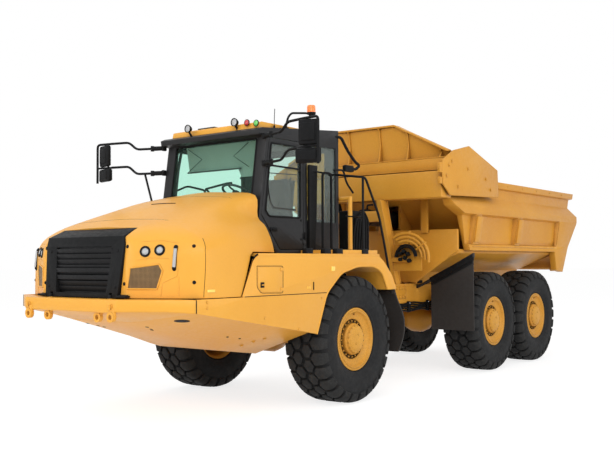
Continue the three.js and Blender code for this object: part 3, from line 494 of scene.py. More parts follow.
def treadBlock(outline, side):
    # one block laid flat: its points as (across, round, height), and its faces
    look = tyreLook
    root = look["blockRoot"]
    block = bmesh.new()
    addPlate(block, [(side * s, v, -root) for s, v in outline], (0, 0, 1), look["treadDepth"] + root, bevel=0)
    top = [e for e in block.edges if all(v.co.z > 0 for v in e.verts)]
    upright = [e for e in block.edges if (e.verts[0].co.z > 0) != (e.verts[1].co.z > 0)]
    bmesh.ops.bevel(block, geom=top + upright, offset=look["blockEdge"], segments=2, profile=0.6,
                    affect="EDGES", clamp_overlap=True)
    planes = [((side * x, 0, 0), (1, 0, 0)) for x in look["bends"]] + [((0, 0, 0), (0, 1, 0))]
    for point, normal in planes:
        bmesh.ops.bisect_plane(block, geom=block.verts[:] + block.edges[:] + block.faces[:],
                               plane_co=point, plane_no=normal)
    block.verts.index_update()
    shape = [tuple(v.co) for v in block.verts]
    faces = [[v.index for v in f.verts] for f in block.faces]
    block.free()
    return shape, faces


def buildTyreMesh():
    look = tyreLook
    bm = bmesh.new()
    turn = 2 * math.pi / look["segments"]
    rings = []
    for x, r in [(-x, r) for x, r in reversed(carcass[1:])] + carcass + beadInside:
        rings.append([bm.verts.new((x, r * math.sin(turn * k), r * math.cos(turn * k)))
                      for k in range(look["segments"])])
    for low, high in zip(rings, rings[1:] + rings[:1]):
        for k in range(look["segments"]):
            j = (k + 1) % look["segments"]
            bm.faces.new((low[k], high[k], high[j], low[j]))
    pitch = 2 * math.pi * look["pitchRadius"] / look["pitches"]
    gap = look["groove"] / 2
    end = pitch / 2 - gap
    crownBlock = [(0.018 + gap, -end), (gap - 0.018, 0), (0.018 + gap, end), (0.102, end), (0.143, 0.0),
                  (0.102, -end)]
    edgeBlock = [(0.124, 0), (0.163, -end), (0.25, -end), (0.333, -end + 0.016), (0.333, end - 0.016),
                 (0.25, end), (0.163, end)]
    for side in (1, -1):
        for outline, offset in ((crownBlock, 0.0), (edgeBlock, pitch / 2)):
            shape, faces = treadBlock(outline, side)
            for number in range(look["pitches"]):
                middle = (number + (0.5 if side < 0 else 0)) * pitch + offset
                placed = []
                for s, v, h in shape:
                    x, r = carcassPoint(s, h / look["treadDepth"] * treadDepthAt(s) if h > 0 else h)
                    angle = (middle + v) / look["pitchRadius"]
                    placed.append(bm.verts.new((x, r * math.sin(angle), r * math.cos(angle))))
                for f in faces:
                    bm.faces.new([placed[i] for i in f]).material_index = 1
    # turned down to the stated radius at the crown
    for v in bm.verts:
        r = math.hypot(v.co.y, v.co.z)
        if r > look["radius"]:
            v.co.y *= look["radius"] / r
            v.co.z *= look["radius"] / r
    mesh = meshOf("tyreMesh", bm)
    mesh.materials.append(materials["tyreRubber"])
    mesh.materials.append(materials["treadRubber"])
    return mesh


# rims
rimLook = {"nuts": 20, "nutCircle": 0.2265, "coverBolts": 16, "coverCircle": 0.168, "plugs": (0.35, 3.6)}
# (radius, place outwards) from the inner lip to the middle of the hub cover
rimProfile = [
    (0.396, -0.238), (0.3985, -0.232), (0.396, -0.226), (0.372, -0.222), (0.36, -0.2), (0.357, 0.19),
    (0.366, 0.212), (0.389, 0.219), (0.3985, 0.229), (0.3985, 0.24), (0.392, 0.25), (0.378, 0.2535),
    (0.37, 0.247), (0.3635, 0.249), (0.358, 0.257), (0.349, 0.259), (0.342, 0.252), (0.336, 0.236),
    (0.326, 0.222), (0.3, 0.21), (0.272, 0.2), (0.26, 0.197), (0.251, 0.191), (0.2475, 0.182),
    (0.2475, 0.163), (0.243, 0.158), (0.207, 0.158), (0.204, 0.162), (0.2, 0.205), (0.1955, 0.222),
    (0.188, 0.23), (0.182, 0.233), (0.1785, 0.237), (0.176, 0.25), (0.171, 0.2575), (0.152, 0.263),
    (0.142, 0.2705), (0.136, 0.274), (0.09, 0.2775), (0, 0.279),
]


def buildRimMesh():
    look = rimLook
    bm = bmesh.new()
    outboard = Matrix.Rotation(math.pi / 2, 4, "Y")
    turnedRing(bm, rimProfile, outboard, 72)
    turnedRing(bm, [(0.352, -0.2), (0.35, 0.14), (0.34, 0.15), (0.16, 0.15)], outboard, 72)
    turnedRing(bm, [(0.396, -0.238), (0.352, -0.2)], outboard, 72)

    def boltAt(angle, x, circle, radius, height):
        z, y = onCircle(circle, angle)
        addBolt(bm, (x, y, z), (1, 0, 0), radius, height)
    for k in range(look["nuts"]):
        boltAt(2 * math.pi * k / look["nuts"], 0.157, look["nutCircle"], 0.0135, 0.036)
    for k in range(look["coverBolts"]):
        boltAt(2 * math.pi * (k + 0.5) / look["coverBolts"], 0.2565, look["coverCircle"], 0.0085, 0.01)
    for angle in look["plugs"]:
        boltAt(angle, 0.276, 0.06, 0.016, 0.008)
    # valve stem and the lugs that lock the split ring
    addTube(bm, [(0.2, 0, 0.305), (0.235, 0.0, 0.31), (0.25, 0, 0.318)], 0.006, 8)
    for a in (0.9, 1.05, 4.2):
        turn = Matrix.Rotation(-a, 3, "X")
        addBox(bm, turn @ Vector((0.2, 0, 0.33)), (0.04, 0.05, 0.02), 0.003, turn)
    mesh = meshOf("rimMesh", bm)
    mesh.materials.append(materials["rimPaint"])
    return mesh


def makeWheels():
    tyreMesh, rimMesh = buildTyreMesh(), buildRimMesh()
    for place in ("front", "centre", "rear"):
        for side, name in bothSides:
            low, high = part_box(f"tyre_{place}_{name}")
            centre = (Vector(low) + Vector(high)) / 2
            wheel = f"wheel_{place}_{name}"
            tyre = placePiece(f"tyreTread_{place}_{name}", tyreMesh, wheel, "tyreRubber",
                              (f"tyre_{place}_{name}",), smooth=38, location=centre)
            rim = placePiece(f"rimFace_{place}_{name}", rimMesh, wheel, "rimPaint",
                             (f"rim_{place}_{name}",), smooth=38, location=centre)
            if side < 0:
                for piece in (tyre, rim):
                    piece.data = piece.data.copy()
                    piece.data.transform(Matrix.Rotation(math.pi, 4, "Z"))
    print("wheels ready")


makeWheels()

# hood
hoodLook = {"thickness": 0.03, "acrossSteps": 4, "alongSteps": 4, "front": -3.128, "rake": 0.0963,
            "foot": 1.408}
# cross-sections: place along, then (half width, height) from the lower edge to the middle
hoodSections = [
    (-3.11, [(0.7, 1.408), (0.69, 1.8), (0.66, 1.96), (0.6, 2.03), (0.5, 2.05), (0.3, 2.06), (0, 2.065)]),
    (-3.0, [(0.9, 1.408), (0.89, 1.8), (0.86, 1.93), (0.78, 2.02), (0.64, 2.08), (0.4, 2.1), (0, 2.11)]),
    (-2.85, [(1.21, 1.408), (1.2, 1.8), (1.16, 1.92), (1.03, 2.04), (0.75, 2.145), (0.4, 2.165), (0, 2.175)]),
    (-2.716, [(1.4, 1.408), (1.39, 1.81), (1.34, 1.95), (1.17, 2.08), (0.79, 2.19), (0.4, 2.215),
              (0, 2.225)]),
    (-2.6, [(1.43, 1.408), (1.425, 1.84), (1.37, 1.99), (1.18, 2.12), (0.8, 2.23), (0.4, 2.255), (0, 2.265)]),
    (-2.2, [(1.43, 1.408), (1.415, 1.88), (1.35, 2.07), (1.13, 2.24), (0.82, 2.35), (0.4, 2.39), (0, 2.405)]),
    (-1.7, [(1.38, 1.408), (1.33, 1.9), (1.21, 2.14), (1.01, 2.32), (0.83, 2.49), (0.4, 2.535), (0, 2.55)]),
    (-1.268, [(1.192, 1.408), (1.142, 1.9), (1.023, 2.18), (0.892, 2.31), (0.85, 2.57), (0.4, 2.625),
              (0, 2.645)]),
]


def curveThrough(points, t):
    # Catmull-Rom through the points, t from 0 to len - 1
    k = min(int(t), len(points) - 2)
    u = t - k
    p1, p2 = points[k], points[k + 1]
    p0 = points[k - 1] if k else p1 * 2 - p2
    p3 = points[k + 2] if k + 2 < len(points) else p2 * 2 - p1
    square = (2 * p0 - 5 * p1 + 4 * p2 - p3) * u * u
    cube = (3 * p1 - p0 - 3 * p2 + p3) * u ** 3
    return 0.5 * (2 * p1 + (p2 - p0) * u + square + cube)


def hoodGrid():
    look = hoodLook
    lines = []
    for y, half in hoodSections:
        line = [Vector((x, y, z)) for x, z in half]
        lines.append([Vector((-p.x, p.y, p.z)) for p in line[:-1]] + list(reversed(line)))
    across = (len(lines[0]) - 1) * look["acrossSteps"]
    along = (len(lines) - 1) * look["alongSteps"]
    rows = []
    for i in range(along + 1):
        stations = [curveThrough(list(run), i / look["alongSteps"]) for run in zip(*lines)]
        rows.append([curveThrough(stations, j / look["acrossSteps"]) for j in range(across + 1)])
    return rows


def insideOutline(a, b, outline):
    inside = False
    for (a0, b0), (a1, b1) in zip(outline, outline[1:] + outline[:1]):
        if (b0 > b) != (b1 > b) and a < (a1 - a0) * (b - b0) / (b1 - b0) + a0:
            inside = not inside
    return inside


def carve(bm, outline, axis, low, high):
    # cuts a skin along a prism's walls and takes away what lies in the prism
    def parts(p):
        y = p.y - noseShift
        return (y, p.z, p.x) if axis == "x" else (p.x, p.z, y)

    for (a0, b0), (a1, b1) in zip(outline, outline[1:] + outline[:1]):
        point = spot(0, a0, b0) if axis == "x" else spot(a0, 0, b0)
        normal = Vector((0, b1 - b0, a0 - a1)) if axis == "x" else Vector((b1 - b0, 0, a0 - a1))
        near = [f for f in bm.faces if any(low <= parts(v.co)[2] <= high for v in f.verts)]
        geometry = near + unique(e for f in near for e in f.edges) + unique(v for f in near for v in f.verts)
        bmesh.ops.bisect_plane(bm, geom=geometry, plane_co=point, plane_no=normal.normalized(), dist=0.0001)
    gone = []
    for face in bm.faces:
        a, b, c = parts(face.calc_center_median())
        if low < c < high and insideOutline(a, b, outline):
            gone.append(face)
    bmesh.ops.delete(bm, geom=gone, context="FACES")


def makeHood():
    look = hoodLook
    bm = bmesh.new()
    grid = [[bm.verts.new(spot(*p)) for p in row] for row in hoodGrid()]
    fillRows(bm, grid)
    bm.faces.new(grid[0])
    # the nose leans back as the grille's surround does
    for v in bm.verts:
        raked = look["front"] + (v.co.z - look["foot"]) * look["rake"] + noseShift
        if v.co.y < -3.0 + noseShift:
            v.co.y = max(v.co.y, min(raked, -3.03 + noseShift))
    opening = [(-0.603, 1.3), (0.603, 1.3), (0.655, 1.962), (0.635, 2.055), (0.613, 2.2), (-0.613, 2.2),
               (-0.635, 2.055), (-0.655, 1.962)]
    fenderSpace = [(-2.158, 1.3), (-2.158, 1.408), (-1.968, 1.849), (-1.91, 1.887), (-1.0, 1.887),
                   (-1.0, 1.3)]
    carve(bm, opening, "y", -3.4, -2.887)
    carve(bm, fenderSpace, "x", -1.7, 1.7)
    bmesh.ops.recalc_face_normals(bm, faces=bm.faces)
    bm.faces.ensure_lookup_table()
    if max(bm.faces, key=lambda f: f.calc_center_median().z).normal.z < 0:
        bmesh.ops.reverse_faces(bm, faces=bm.faces)
    mesh = bpy.data.meshes.new("hoodShell")
    bm.to_mesh(mesh)
    bm.free()
    shell = linked("hoodShell", mesh)
    wall = shell.modifiers.new("wall", "SOLIDIFY")
    wall.thickness = look["thickness"]
    wall.offset = -1
    mesh = bakeModifiers(shell)
    bpy.data.objects.remove(shell)
    return placePiece("hoodShell", mesh, "hood", "yellowPaint", ("hood",), smooth=32)


hoodShell = makeHood()
hoodTree = BVHTree.FromObject(hoodShell, bpy.context.evaluated_depsgraph_get())


def onHood(start, direction):
    # where a line meets the hood's skin, and the skin's outward normal there
    point, normal, _, _ = hoodTree.ray_cast(spot(*start), Vector(direction))
    if normal.dot(Vector(direction)) > 0:
        normal = -normal
    return point, normal


def onNose(x, z):
    # the same, seen from the front
    return onHood((x, -3.6, z), (0, 1, 0))


hoodTrimLook = {
    "lampRadius": 0.05, "lampRim": 0.012, "lamps": [(0.869, 1.888), (1.008, 1.902)],
    "markerX": 1.158, "markerLow": 1.725, "markerHigh": 1.915, "markerRadius": 0.022,
    "ventSteps": 12, "ventRim": 0.009,
    "noseBolts": [(0.682, 1.94), (0.66, 1.555), (1.311, 1.94), (1.337, 1.571)],
    "boltRadius": 0.013, "topSeams": (-2.62, -1.62),
    # pressed lines on the nose, as (across, height)
    "seamWidth": 0.003,
    "seams": [[(1.049, 1.566), (1.185, 1.632), (1.203, 1.718)], [(1.049, 1.566), (1.03, 1.43)],
              [(1.203, 1.632), (1.205, 1.43)], [(0.8, 1.8), (0.95, 1.822), (1.1, 1.815)],
              [(0.82, 1.99), (1.0, 2.0), (1.16, 1.975)]],
}
# corners of the air vent beside the surround, as (across, height)
ventCorners = [(0.708, 1.505), (0.992, 1.504), (1.045, 1.69), (1.009, 1.758), (0.733, 1.72)]


def drapedLine(bm, points, radius, start, count=10):
    # a thin round line laid on the hood, through points seen from the start's side
    path = []
    sx, sy = start
    for a, b in zip(points, points[1:]):
        for k in range(count + 1):
            x, y, z = Vector(a).lerp(Vector(b), k / count)
            point, normal = onHood((x + sx * 3, y + sy * 3, z), (-sx, -sy, 0))
            if point is not None and (not path or (path[-1] - point).length > 0.004):
                path.append(point + normal * radius * 0.2)
    if len(path) > 1:
        addTube(bm, path, radius, 6)


def ventPatch(bm, side, corners, steps, lift):
    # the corners' fan, divided finely and laid on the hood
    middle = [sum(c[i] for c in corners) / len(corners) for i in range(2)]
    for a, b in zip(corners, corners[1:] + corners[:1]):
        rows = []
        for i in range(steps + 1):
            t = i / steps
            row = []
            for j in range(i + 1):
                u = j / i if i else 0
                x, z = (middle[n] * (1 - t) + (a[n] * (1 - u) + b[n] * u) * t for n in (0, 1))
                point, normal = onNose(side * x, z)
                row.append(bm.verts.new(point + normal * lift))
            rows.append(row)
        for low, high in zip(rows, rows[1:]):
            for j in range(len(low)):
                bm.faces.new((low[j], high[j], high[j + 1]))
                if j + 1 < len(low):
                    bm.faces.new((low[j], high[j + 1], low[j + 1]))


def makeHoodTrim():
    look = hoodTrimLook
    black, lens, screen, yellow = (bmesh.new() for _ in range(4))
    for side, _ in bothSides:
        # head lamps
        r, w = look["lampRadius"], look["lampRim"]
        bezel = [(r - w, 0.003), (r - w, 0.01), (r, 0.012), (r + w * 0.6, 0.007), (r + w * 0.7, -0.012)]
        for x, z in look["lamps"]:
            matrix = pointing(*onNose(side * x, z))
            turnedRing(black, bezel, matrix, 40)
            turnedRing(lens, [(r - w, 0.001), (r * 0.5, 0.011), (0, 0.015)], matrix, 36)
        # air vent and its rim
        ventPatch(screen, side, ventCorners, look["ventSteps"], 0.003)
        ring = []
        for a, b in zip(ventCorners, ventCorners[1:] + ventCorners[:1]):
            for k in range(8):
                t = k / 8
                point, normal = onNose(side * (a[0] * (1 - t) + b[0] * t), a[1] * (1 - t) + b[1] * t)
                ring.append(point + normal * 0.002)
        addTube(yellow, ring + ring[:1], look["ventRim"], 8)
        # upright marker lamp in its black frame
        low, lowNormal = onNose(side * look["markerX"], look["markerLow"])
        high, _ = onNose(side * look["markerX"], look["markerHigh"])
        rise = (high - low).normalized()
        r = look["markerRadius"]
        frameLine = [low - rise * 0.02 - lowNormal * 0.01, low - rise * 0.012 + lowNormal * 0.003,
                     high + rise * 0.012 + lowNormal * 0.003, high + rise * 0.02 - lowNormal * 0.01]
        addTube(black, roundedPath(frameLine, 0.02, 4), r, 14)
        addTube(lens, [low + lowNormal * 0.014, high + lowNormal * 0.014], r * 0.8, 14)
        for x, z in look["noseBolts"]:
            addBolt(black, *onNose(side * x, z), look["boltRadius"], 0.009)
        # seams on the side and the nose
        upright = [(side * 1.43, y, z) for y, z in ((-2.705, 1.42), (-2.68, 1.9), (-2.64, 2.02))]
        drapedLine(black, upright, look["seamWidth"] * 0.8, (side, 0))
        for seam in look["seams"]:
            drapedLine(yellow, [(side * x, -3.2, z) for x, z in seam], look["seamWidth"], (0, -1))
        # reflector on the hood's side
        point, normal = onHood((side * 2.5, -2.62, 1.482), (-side, 0, 0))
        addBox(lens, point + normal * 0.002, (0.01, 0.11, 0.03), 0.003, slot=1)

    def across(x0, x1, y, steps, sink):
        # points across the hood's top, a little below its skin
        line = []
        for k in range(steps + 1):
            point, normal = onHood((x0 + (x1 - x0) * k / steps, y, 3.3), (0, 0, -1))
            line.append(point - normal * sink)
        return line
    # intake slot and hinge seams across the top
    addTube(black, across(-0.14, 0.26, -2.0, 8, 0.002), 0.009, 8)
    for y in look["topSeams"]:
        addTube(black, across(-0.8, 0.8, y, 40, 0.0015), 0.0028, 6)
    newPiece("hoodTrim", black, "hood", "plasticBlack")
    newPiece("headLamps", lens, "hood", ["clearLens", "reflector"])
    newPiece("sideVents", screen, "hood", "ventScreen", smooth=20)
    newPiece("ventFrames", yellow, "hood", "yellowPaint")
    print("hood ready")


makeHoodTrim()

grilleLook = {"slats": 8, "low": 1.47, "high": 1.93, "half": 0.455, "depthY": -3.098, "screenY": -3.066,
              "slatTilt": 0.32, "screenCells": (24, 12)}


def makeGrille():
    look = grilleLook
    slats, screen, feet = (bmesh.new() for _ in range(3))
    tilt = Matrix.Rotation(look["slatTilt"], 3, "X")
    for k in range(look["slats"]):
        z = look["low"] + (look["high"] - look["low"]) * (k + 0.5) / look["slats"]
        half = look["half"] + 0.03 * (z - 1.5)
        addBox(slats, spot(0, look["depthY"] + 0.006, z), (half * 2, 0.016, 0.056), 0.003, tilt)
    for x in (-0.3, 0, 0.3):
        addBox(slats, spot(x, look["depthY"] + 0.022, 1.7), (0.02, 0.012, 0.46), 0.003)
    # wide bars that cross the opening, one above the other
    for z in (1.62, 1.695):
        addBox(slats, spot(0, look["depthY"] - 0.012, z), (look["half"] * 2 + 0.01, 0.02, 0.05), 0.006)
    # slightly wavy wire screen behind them
    wide, high = look["screenCells"]
    rows = []
    for j in range(high + 1):
        z = 1.44 + 0.52 * j / high
        places = [-0.48 + 0.96 * i / wide for i in range(wide + 1)]
        rows.append([screen.verts.new(spot(x, look["screenY"] + 0.003 * math.sin(9 * x), z)) for x in places])
    fillRows(screen, rows)
    for side, _ in bothSides:
        addBox(feet, spot(side * 0.665, -3.125, 1.424), (0.15, 0.07, 0.026), 0.008)
        addBar(feet, [(0.62, -3.135, 1.428), (0.72, -3.1, 1.428)], 0.016, side=side)
        for z in (1.52, 1.9):
            y = -3.15 + (z - hoodLook["foot"]) * hoodLook["rake"]
            addBolt(feet, spot(side * 0.56, y, z), (0, -1, 0.1), 0.012, 0.008)
    newPiece("grilleSlats", slats, "hood", "grilleBlack")
    newPiece("grilleScreen", screen, "hood", "grilleScreen")
    newPiece("noseFeet", feet, "hood", "plasticBlack")
    print("grille ready")


makeGrille()


# kept shapes with rounded edges: (node, piece, body, finish, rounding); {} stands for left and right
plainPieces = [
    ("bumper", "bumperShell", "tractor", "yellowPaint", 0.012),
    ("belly_pan", "bellyPan", "tractor", "yellowPaint", 0.006),
    ("fender_{}", "fender{}", "tractor", "yellowPaint", 0.007),
    ("deck", "deckPlate", "tractor", "yellowPaint", 0.005),
    ("front_frame", "frontFrame", "tractor", "bodyPaint", 0.005),
    ("front_axle", "frontAxle", "tractor", "bodyPaint", 0.0),
    ("engine", "engineBlock", "tractor", "castIron", 0.012),
    ("grille_surround", "grilleSurround", "hood", "plasticBlack", 0.01),
    ("cab_frame", "cabFrame", "tractor", "blackPaint", 0.006),
    ("cab_roof", "cabRoof", "tractor", "yellowPaint", 0.02),
    ("cab_door", "cabDoor", "door", "blackPaint", 0.006),
    ("hitch", "hitchHead", "hitch", "bodyPaint", 0.006),
    ("rear_frame", "rearFrame", "rear_frame", "bodyPaint", 0.006),
    ("centre_axle", "centreAxle", "rear_frame", "bodyPaint", 0.0),
    ("rear_axle", "rearAxle", "rear_frame", "bodyPaint", 0.0),
    ("bogie_beam_{}", "bogieBeam{}", "rear_frame", "bodyPaint", 0.006),
    ("body_side_{}", "bodySide{}", "rear_frame", "bodyPaint", 0.008),
    ("body_floor", "bodyFloor", "rear_frame", "bodyPaint", 0.005),
    ("cross_beam", "crossBeam", "rear_frame", "bodyPaint", 0.012),
    ("rear_flap_{}", "rearFlap{}", "rear_frame", "flapRubber", 0.004),
    ("ram_barrel", "ramBarrel", "rear_frame", "blackPaint", 0.0),
    ("ram_stage_1", "ramStageOne", "ram_stage_1", "brightSteel", 0.0),
    ("ram_stage_2", "ramStageTwo", "ram_stage_2", "brightSteel", 0.0),
    ("ejector_blade", "ejectorBlade", "ejector", "bodyPaint", 0.006),
    ("tailgate", "tailgateLeaf", "tailgate", "bodyPaint", 0.006),
    ("steering_barrel_{}", "steeringBarrel{}", "steering_barrel_{}", "blackPaint", 0.0),
    ("steering_rod_{}", "steeringRod{}", "steering_rod_{}", "brightSteel", 0.0),
]
finished = {}
for node, piece, body, finish, width in plainPieces:
    for name in ("left", "right") if "{}" in node else ("",):
        key = node.format(name)
        finished[key] = softened(piece.format(name.title()), key, body.format(name), finish, width)
# panes keep their CAD shape; those on the left let through a clearer tint than the rest, and more of each is
# a pale grey matt layer, a painted reflection
panes = {"windscreen": "screenGlass", "rear_glass": "screenGlass", "side_glass_right": "screenGlass",
         "side_glass_left": "sideGlass", "door_glass": "sideGlass"}
for node, finish in panes.items():
    nodes[node].data.materials.clear()
    nodes[node].data.materials.append(materials[finish])
print("kept shapes ready")


frontLook = {"holeRadius": 0.026, "eyeRadius": 0.055, "eyeHalf": 0.02, "lugFoot": 1.402}


def darkenLugs():
    # the lugs that stand above the bumper are black like the grille's surround
    piece = finished["bumper"]
    piece.data.materials.append(materials["plasticBlack"])
    for face in piece.data.polygons:
        if face.center.z > frontLook["lugFoot"]:
            face.material_index = 1


def makeFrontFittings():
    look = frontLook
    hole, eye, half = look["holeRadius"], look["eyeRadius"], look["eyeHalf"]
    yellow, black = bmesh.new(), bmesh.new()
    for side, _ in bothSides:
        # towing eyes under the bumper band
        for x, y, z in ((0.69, -3.292, 1.225), (0.42, -3.24, 1.215)):
            matrix = Matrix.Translation(spot(side * x, y, z)) @ Matrix.Rotation(math.pi / 2, 4, "X")
            turnedRing(yellow, [(hole, -half), (eye, -half), (eye, half), (hole, half)], matrix, 28,
                       closedLoop=True)
            addBox(yellow, spot(side * x, y + 0.004, z + 0.055), (eye * 1.9, 0.034, 0.075), 0.006)
        addBolt(yellow, spot(side * 0.69, -3.3, 1.33), (0, -1, 0), 0.02, 0.014)
        addBar(yellow, [(0.69, -3.3, 1.345), (0.69, -3.322, 1.345), (0.69, -3.322, 1.30)], 0.012, side=side)
        # holes in the belly plate, drawn as black discs: painted shade of their insides
        for x, y, r, stretch in ((0.501, -2.647, 0.02, 1), (0.45, -2.54, 0.018, 1), (0.405, -2.489, 0.02, 1),
                                 (0.961, -2.574, 0.05, 1.7), (0.86, -1.76, 0.014, 1), (0.9, -1.6, 0.014, 1)):
            spotOn, normal = surfaceTree["belly_pan"].cast((side * x, y, 0.6), (0, 0, 1))
            if spotOn is not None:
                matrix = pointing(spotOn, normal) @ Matrix.Diagonal((stretch, 1, 1, 1))
                turnedRing(black, [(0, 0.0025), (r, 0.0025), (r, -0.004)], matrix, 28)
        # drain plugs
        for x, y in ((0.75, -1.4), (0.9, -1.36), (1.02, -1.3)):
            spotOn, normal = surfaceTree["belly_pan"].cast((side * x, y, 0.4), (0, 0, 1))
            if spotOn is not None:
                addBolt(yellow, spotOn, normal, 0.018, 0.014)
        # black joint strip where the fender meets the bumper
        addTube(black, [spot(side * 1.4505, -2.8505, z) for z in (1.262, 1.33, 1.398)], 0.0045, 6)
    newPiece("noseFittings", yellow, "tractor", "yellowPaint")
    # dark wall behind the engine
    addBox(black, spot(0, -1.21, 1.6), (2.7, 0.02, 0.52), 0.004)
    newPiece("noseHoles", black, "tractor", "plasticBlack")


class Surface:
    # ray caster for one finished piece
    def __init__(self, piece):
        self.tree = BVHTree.FromObject(piece, bpy.context.evaluated_depsgraph_get())

    def cast(self, start, direction):
        point, normal, _, _ = self.tree.ray_cast(spot(*start), Vector(direction))
        if point is not None and normal.dot(Vector(direction)) > 0:
            normal = -normal
        return point, normal


surfaceTree = {node: Surface(finished[node])
               for node in ("belly_pan", "ejector_blade", "body_side_left", "body_side_right")}
darkenLugs()
makeFrontFittings()

fenderLook = {
    "door": [(-1.929, 1.731), (-1.483, 1.728), (-1.485, 1.426), (-1.86, 1.436), (-1.93, 1.5)],
    "latch": (-1.847, 1.524), "slot": (-0.916, 1.443, 1.537), "reflector": (-0.523, 1.69), "lip": 0.018,
}
archLine = [(-0.85, 0.925), (-0.65, 1.4), (-0.34, 1.64), (0.02, 1.72), (0.41, 1.72), (0.6, 1.64),
            (0.73, 1.41)]


def makeFenderTrim():
    look = fenderLook
    for side, name in bothSides:
        yellow, black, lens = bmesh.new(), bmesh.new(), bmesh.new()
        face = side * 1.45
        outline = [spot(face, y, z) for y, z in look["door"]]
        out = Vector((side, 0, 0))
        addTube(black, roundedPath([p + out * 0.0004 for p in outline + outline[:1]], 0.03, 4), 0.0032, 6)
        inner = [(-1.915, 1.718), (-1.497, 1.715), (-1.498, 1.44), (-1.853, 1.449), (-1.916, 1.508)]
        addPlate(yellow, [spot(face, y, z) for y, z in inner], out, 0.004, 0.002)
        y, z = look["latch"]
        addBox(black, spot(face + side * 0.006, y, z), (0.012, 0.06, 0.06), 0.005)
        addTube(yellow, [spot(face + side * 0.014, y + dy, z) for dy in (-0.018, 0.018)], 0.007, 10)
        for y, z in ((-1.6, 1.69), (-1.6, 1.47)):
            addBox(yellow, spot(face + side * 0.006, y + 0.09, z), (0.014, 0.05, 0.035), 0.004)
        # joint between the fender's two halves, and a black line behind its front and top edge, a painted
        # shadow
        addTube(black, [spot(face + side * 0.0004, y, 1.404) for y in (-2.13, -1.4, -0.66)], 0.004, 6)
        shadowLine = [(-2.152, 1.41), (-1.958, 1.822), (-1.903, 1.862), (-1.2, 1.864), (-0.4, 1.862)]
        addTube(black, roundedPath([spot(face - side * 0.016, y, z) for y, z in shadowLine], 0.05, 4), 0.009, 8)
        y, low, high = look["slot"]
        addTube(black, [spot(face + side * 0.001, y, low), spot(face + side * 0.001, y, high)], 0.008, 8)
        y, z = look["reflector"]
        addBox(lens, spot(face + side * 0.004, y, z), (0.01, 0.075, 0.055), 0.004)
        # rolled lip round the wheel arch and along the fender's top
        arch = [spot(face - side * 0.012, y, z) for y, z in archLine]
        addTube(yellow, roundedPath(arch, 0.09, 5), look["lip"], 10)
        edge = [(-2.15, 1.405), (-1.965, 1.8), (-1.9, 1.838), (-1.2, 1.84), (-0.4, 1.84), (0.5, 1.84),
                (0.63, 1.768), (0.82, 1.592), (0.93, 1.41)]
        addTube(yellow, roundedPath([spot(face - side * 0.01, y, z) for y, z in edge], 0.05, 4), 0.011, 10)
        # two slim side lamps ahead of the arch
        for y in (-1.03, -0.99):
            addTube(lens, [spot(face + side * 0.002, y, 1.46), spot(face + side * 0.002, y, 1.49)], 0.006, 8)
        for y, z in ((-2.7, 1.37), (-2.7, 1.31), (-0.75, 1.34), (-1.2, 1.0), (-1.8, 1.16)):
            addBolt(yellow, spot(face, y, z), (side, 0, 0), 0.012, 0.008)
        # grip plates on the deck beside the cab
        for k in range(9):
            y = -0.36 + 0.1 * k
            for x in (1.0, 1.12, 1.24, 1.36):
                ends = [spot(side * x - 0.03, y, 1.922), spot(side * x + 0.03, y + 0.03, 1.922)]
                addTube(black, ends, 0.004, 6)
        newPiece(f"fenderTrim_{name}", yellow, "tractor", "yellowPaint")
        # black seams and fittings, with the painted shadow line behind the fender's edge
        newPiece(f"fenderSeamsAndShadow_{name}", black, "tractor", "plasticBlack")
        newPiece(f"fenderLamps_{name}", lens, "tractor", "reflector")
    print("fenders ready")


makeFenderTrim()

flapLook = {"thick": 0.024, "steps": 14, "top": 1.4, "height": 0.84, "sag": 0.012}


def border(grid):
    # the outer points of a grid, in order round it
    return (grid[0] + [row[-1] for row in grid[1:]] + grid[-1][-2::-1] + [row[0] for row in grid[-2:0:-1]])


def makeFrontFlaps():
    # rubber sheet that follows the tyre behind the front wheel
    look = flapLook
    steps = look["steps"]
    for side, name in bothSides:
        bm = bmesh.new()
        profile = [(0.885, 1.4), (0.93, 1.28), (1.03, 1.13), (1.1, 0.96), (1.11, 0.8), (1.05, 0.66),
                   (0.98, 0.562)]
        rows = []
        for p in roundedPath([(y, 0, z) for y, z in profile], 0.08, 4):
            t = (look["top"] - p.z) / look["height"]
            inner, outer = 0.902 + 0.02 * t, 1.488 - 0.06 * abs(t - 0.45)
            rows.append([(inner + (outer - inner) * k / steps,
                          p.x - look["sag"] * math.sin(math.pi * k / steps), p.z)
                         for k in range(steps + 1)])
        sheets = []
        for offset in (-0.03, look["thick"] - 0.03):
            sheets.append([[bm.verts.new(spot(side * x, y + offset, z)) for x, y, z in row] for row in rows])
            fillRows(bm, sheets[-1])
        front, back = map(border, sheets)
        fillRows(bm, [front + front[:1], back + back[:1]])
        for k in range(6):
            x = 0.96 + 0.09 * k
            addBolt(bm, spot(side * x, 0.852, 1.36), (0, -1, 0), 0.011, 0.008)
        addBox(bm, spot(side * 1.195, 0.853, 1.36), (0.56, 0.006, 0.05), 0.002)
        newPiece(f"frontFlap_{name}", bm, "tractor", "flapRubber", (f"front_flap_{name}",), smooth=40)
    print("front flaps ready")


makeFrontFlaps()


seatLook = {"voxel": 0.006, "pressure": 4.0, "frames": 20, "cap": 0.02, "crown": 0.16, "waist": 0.03}


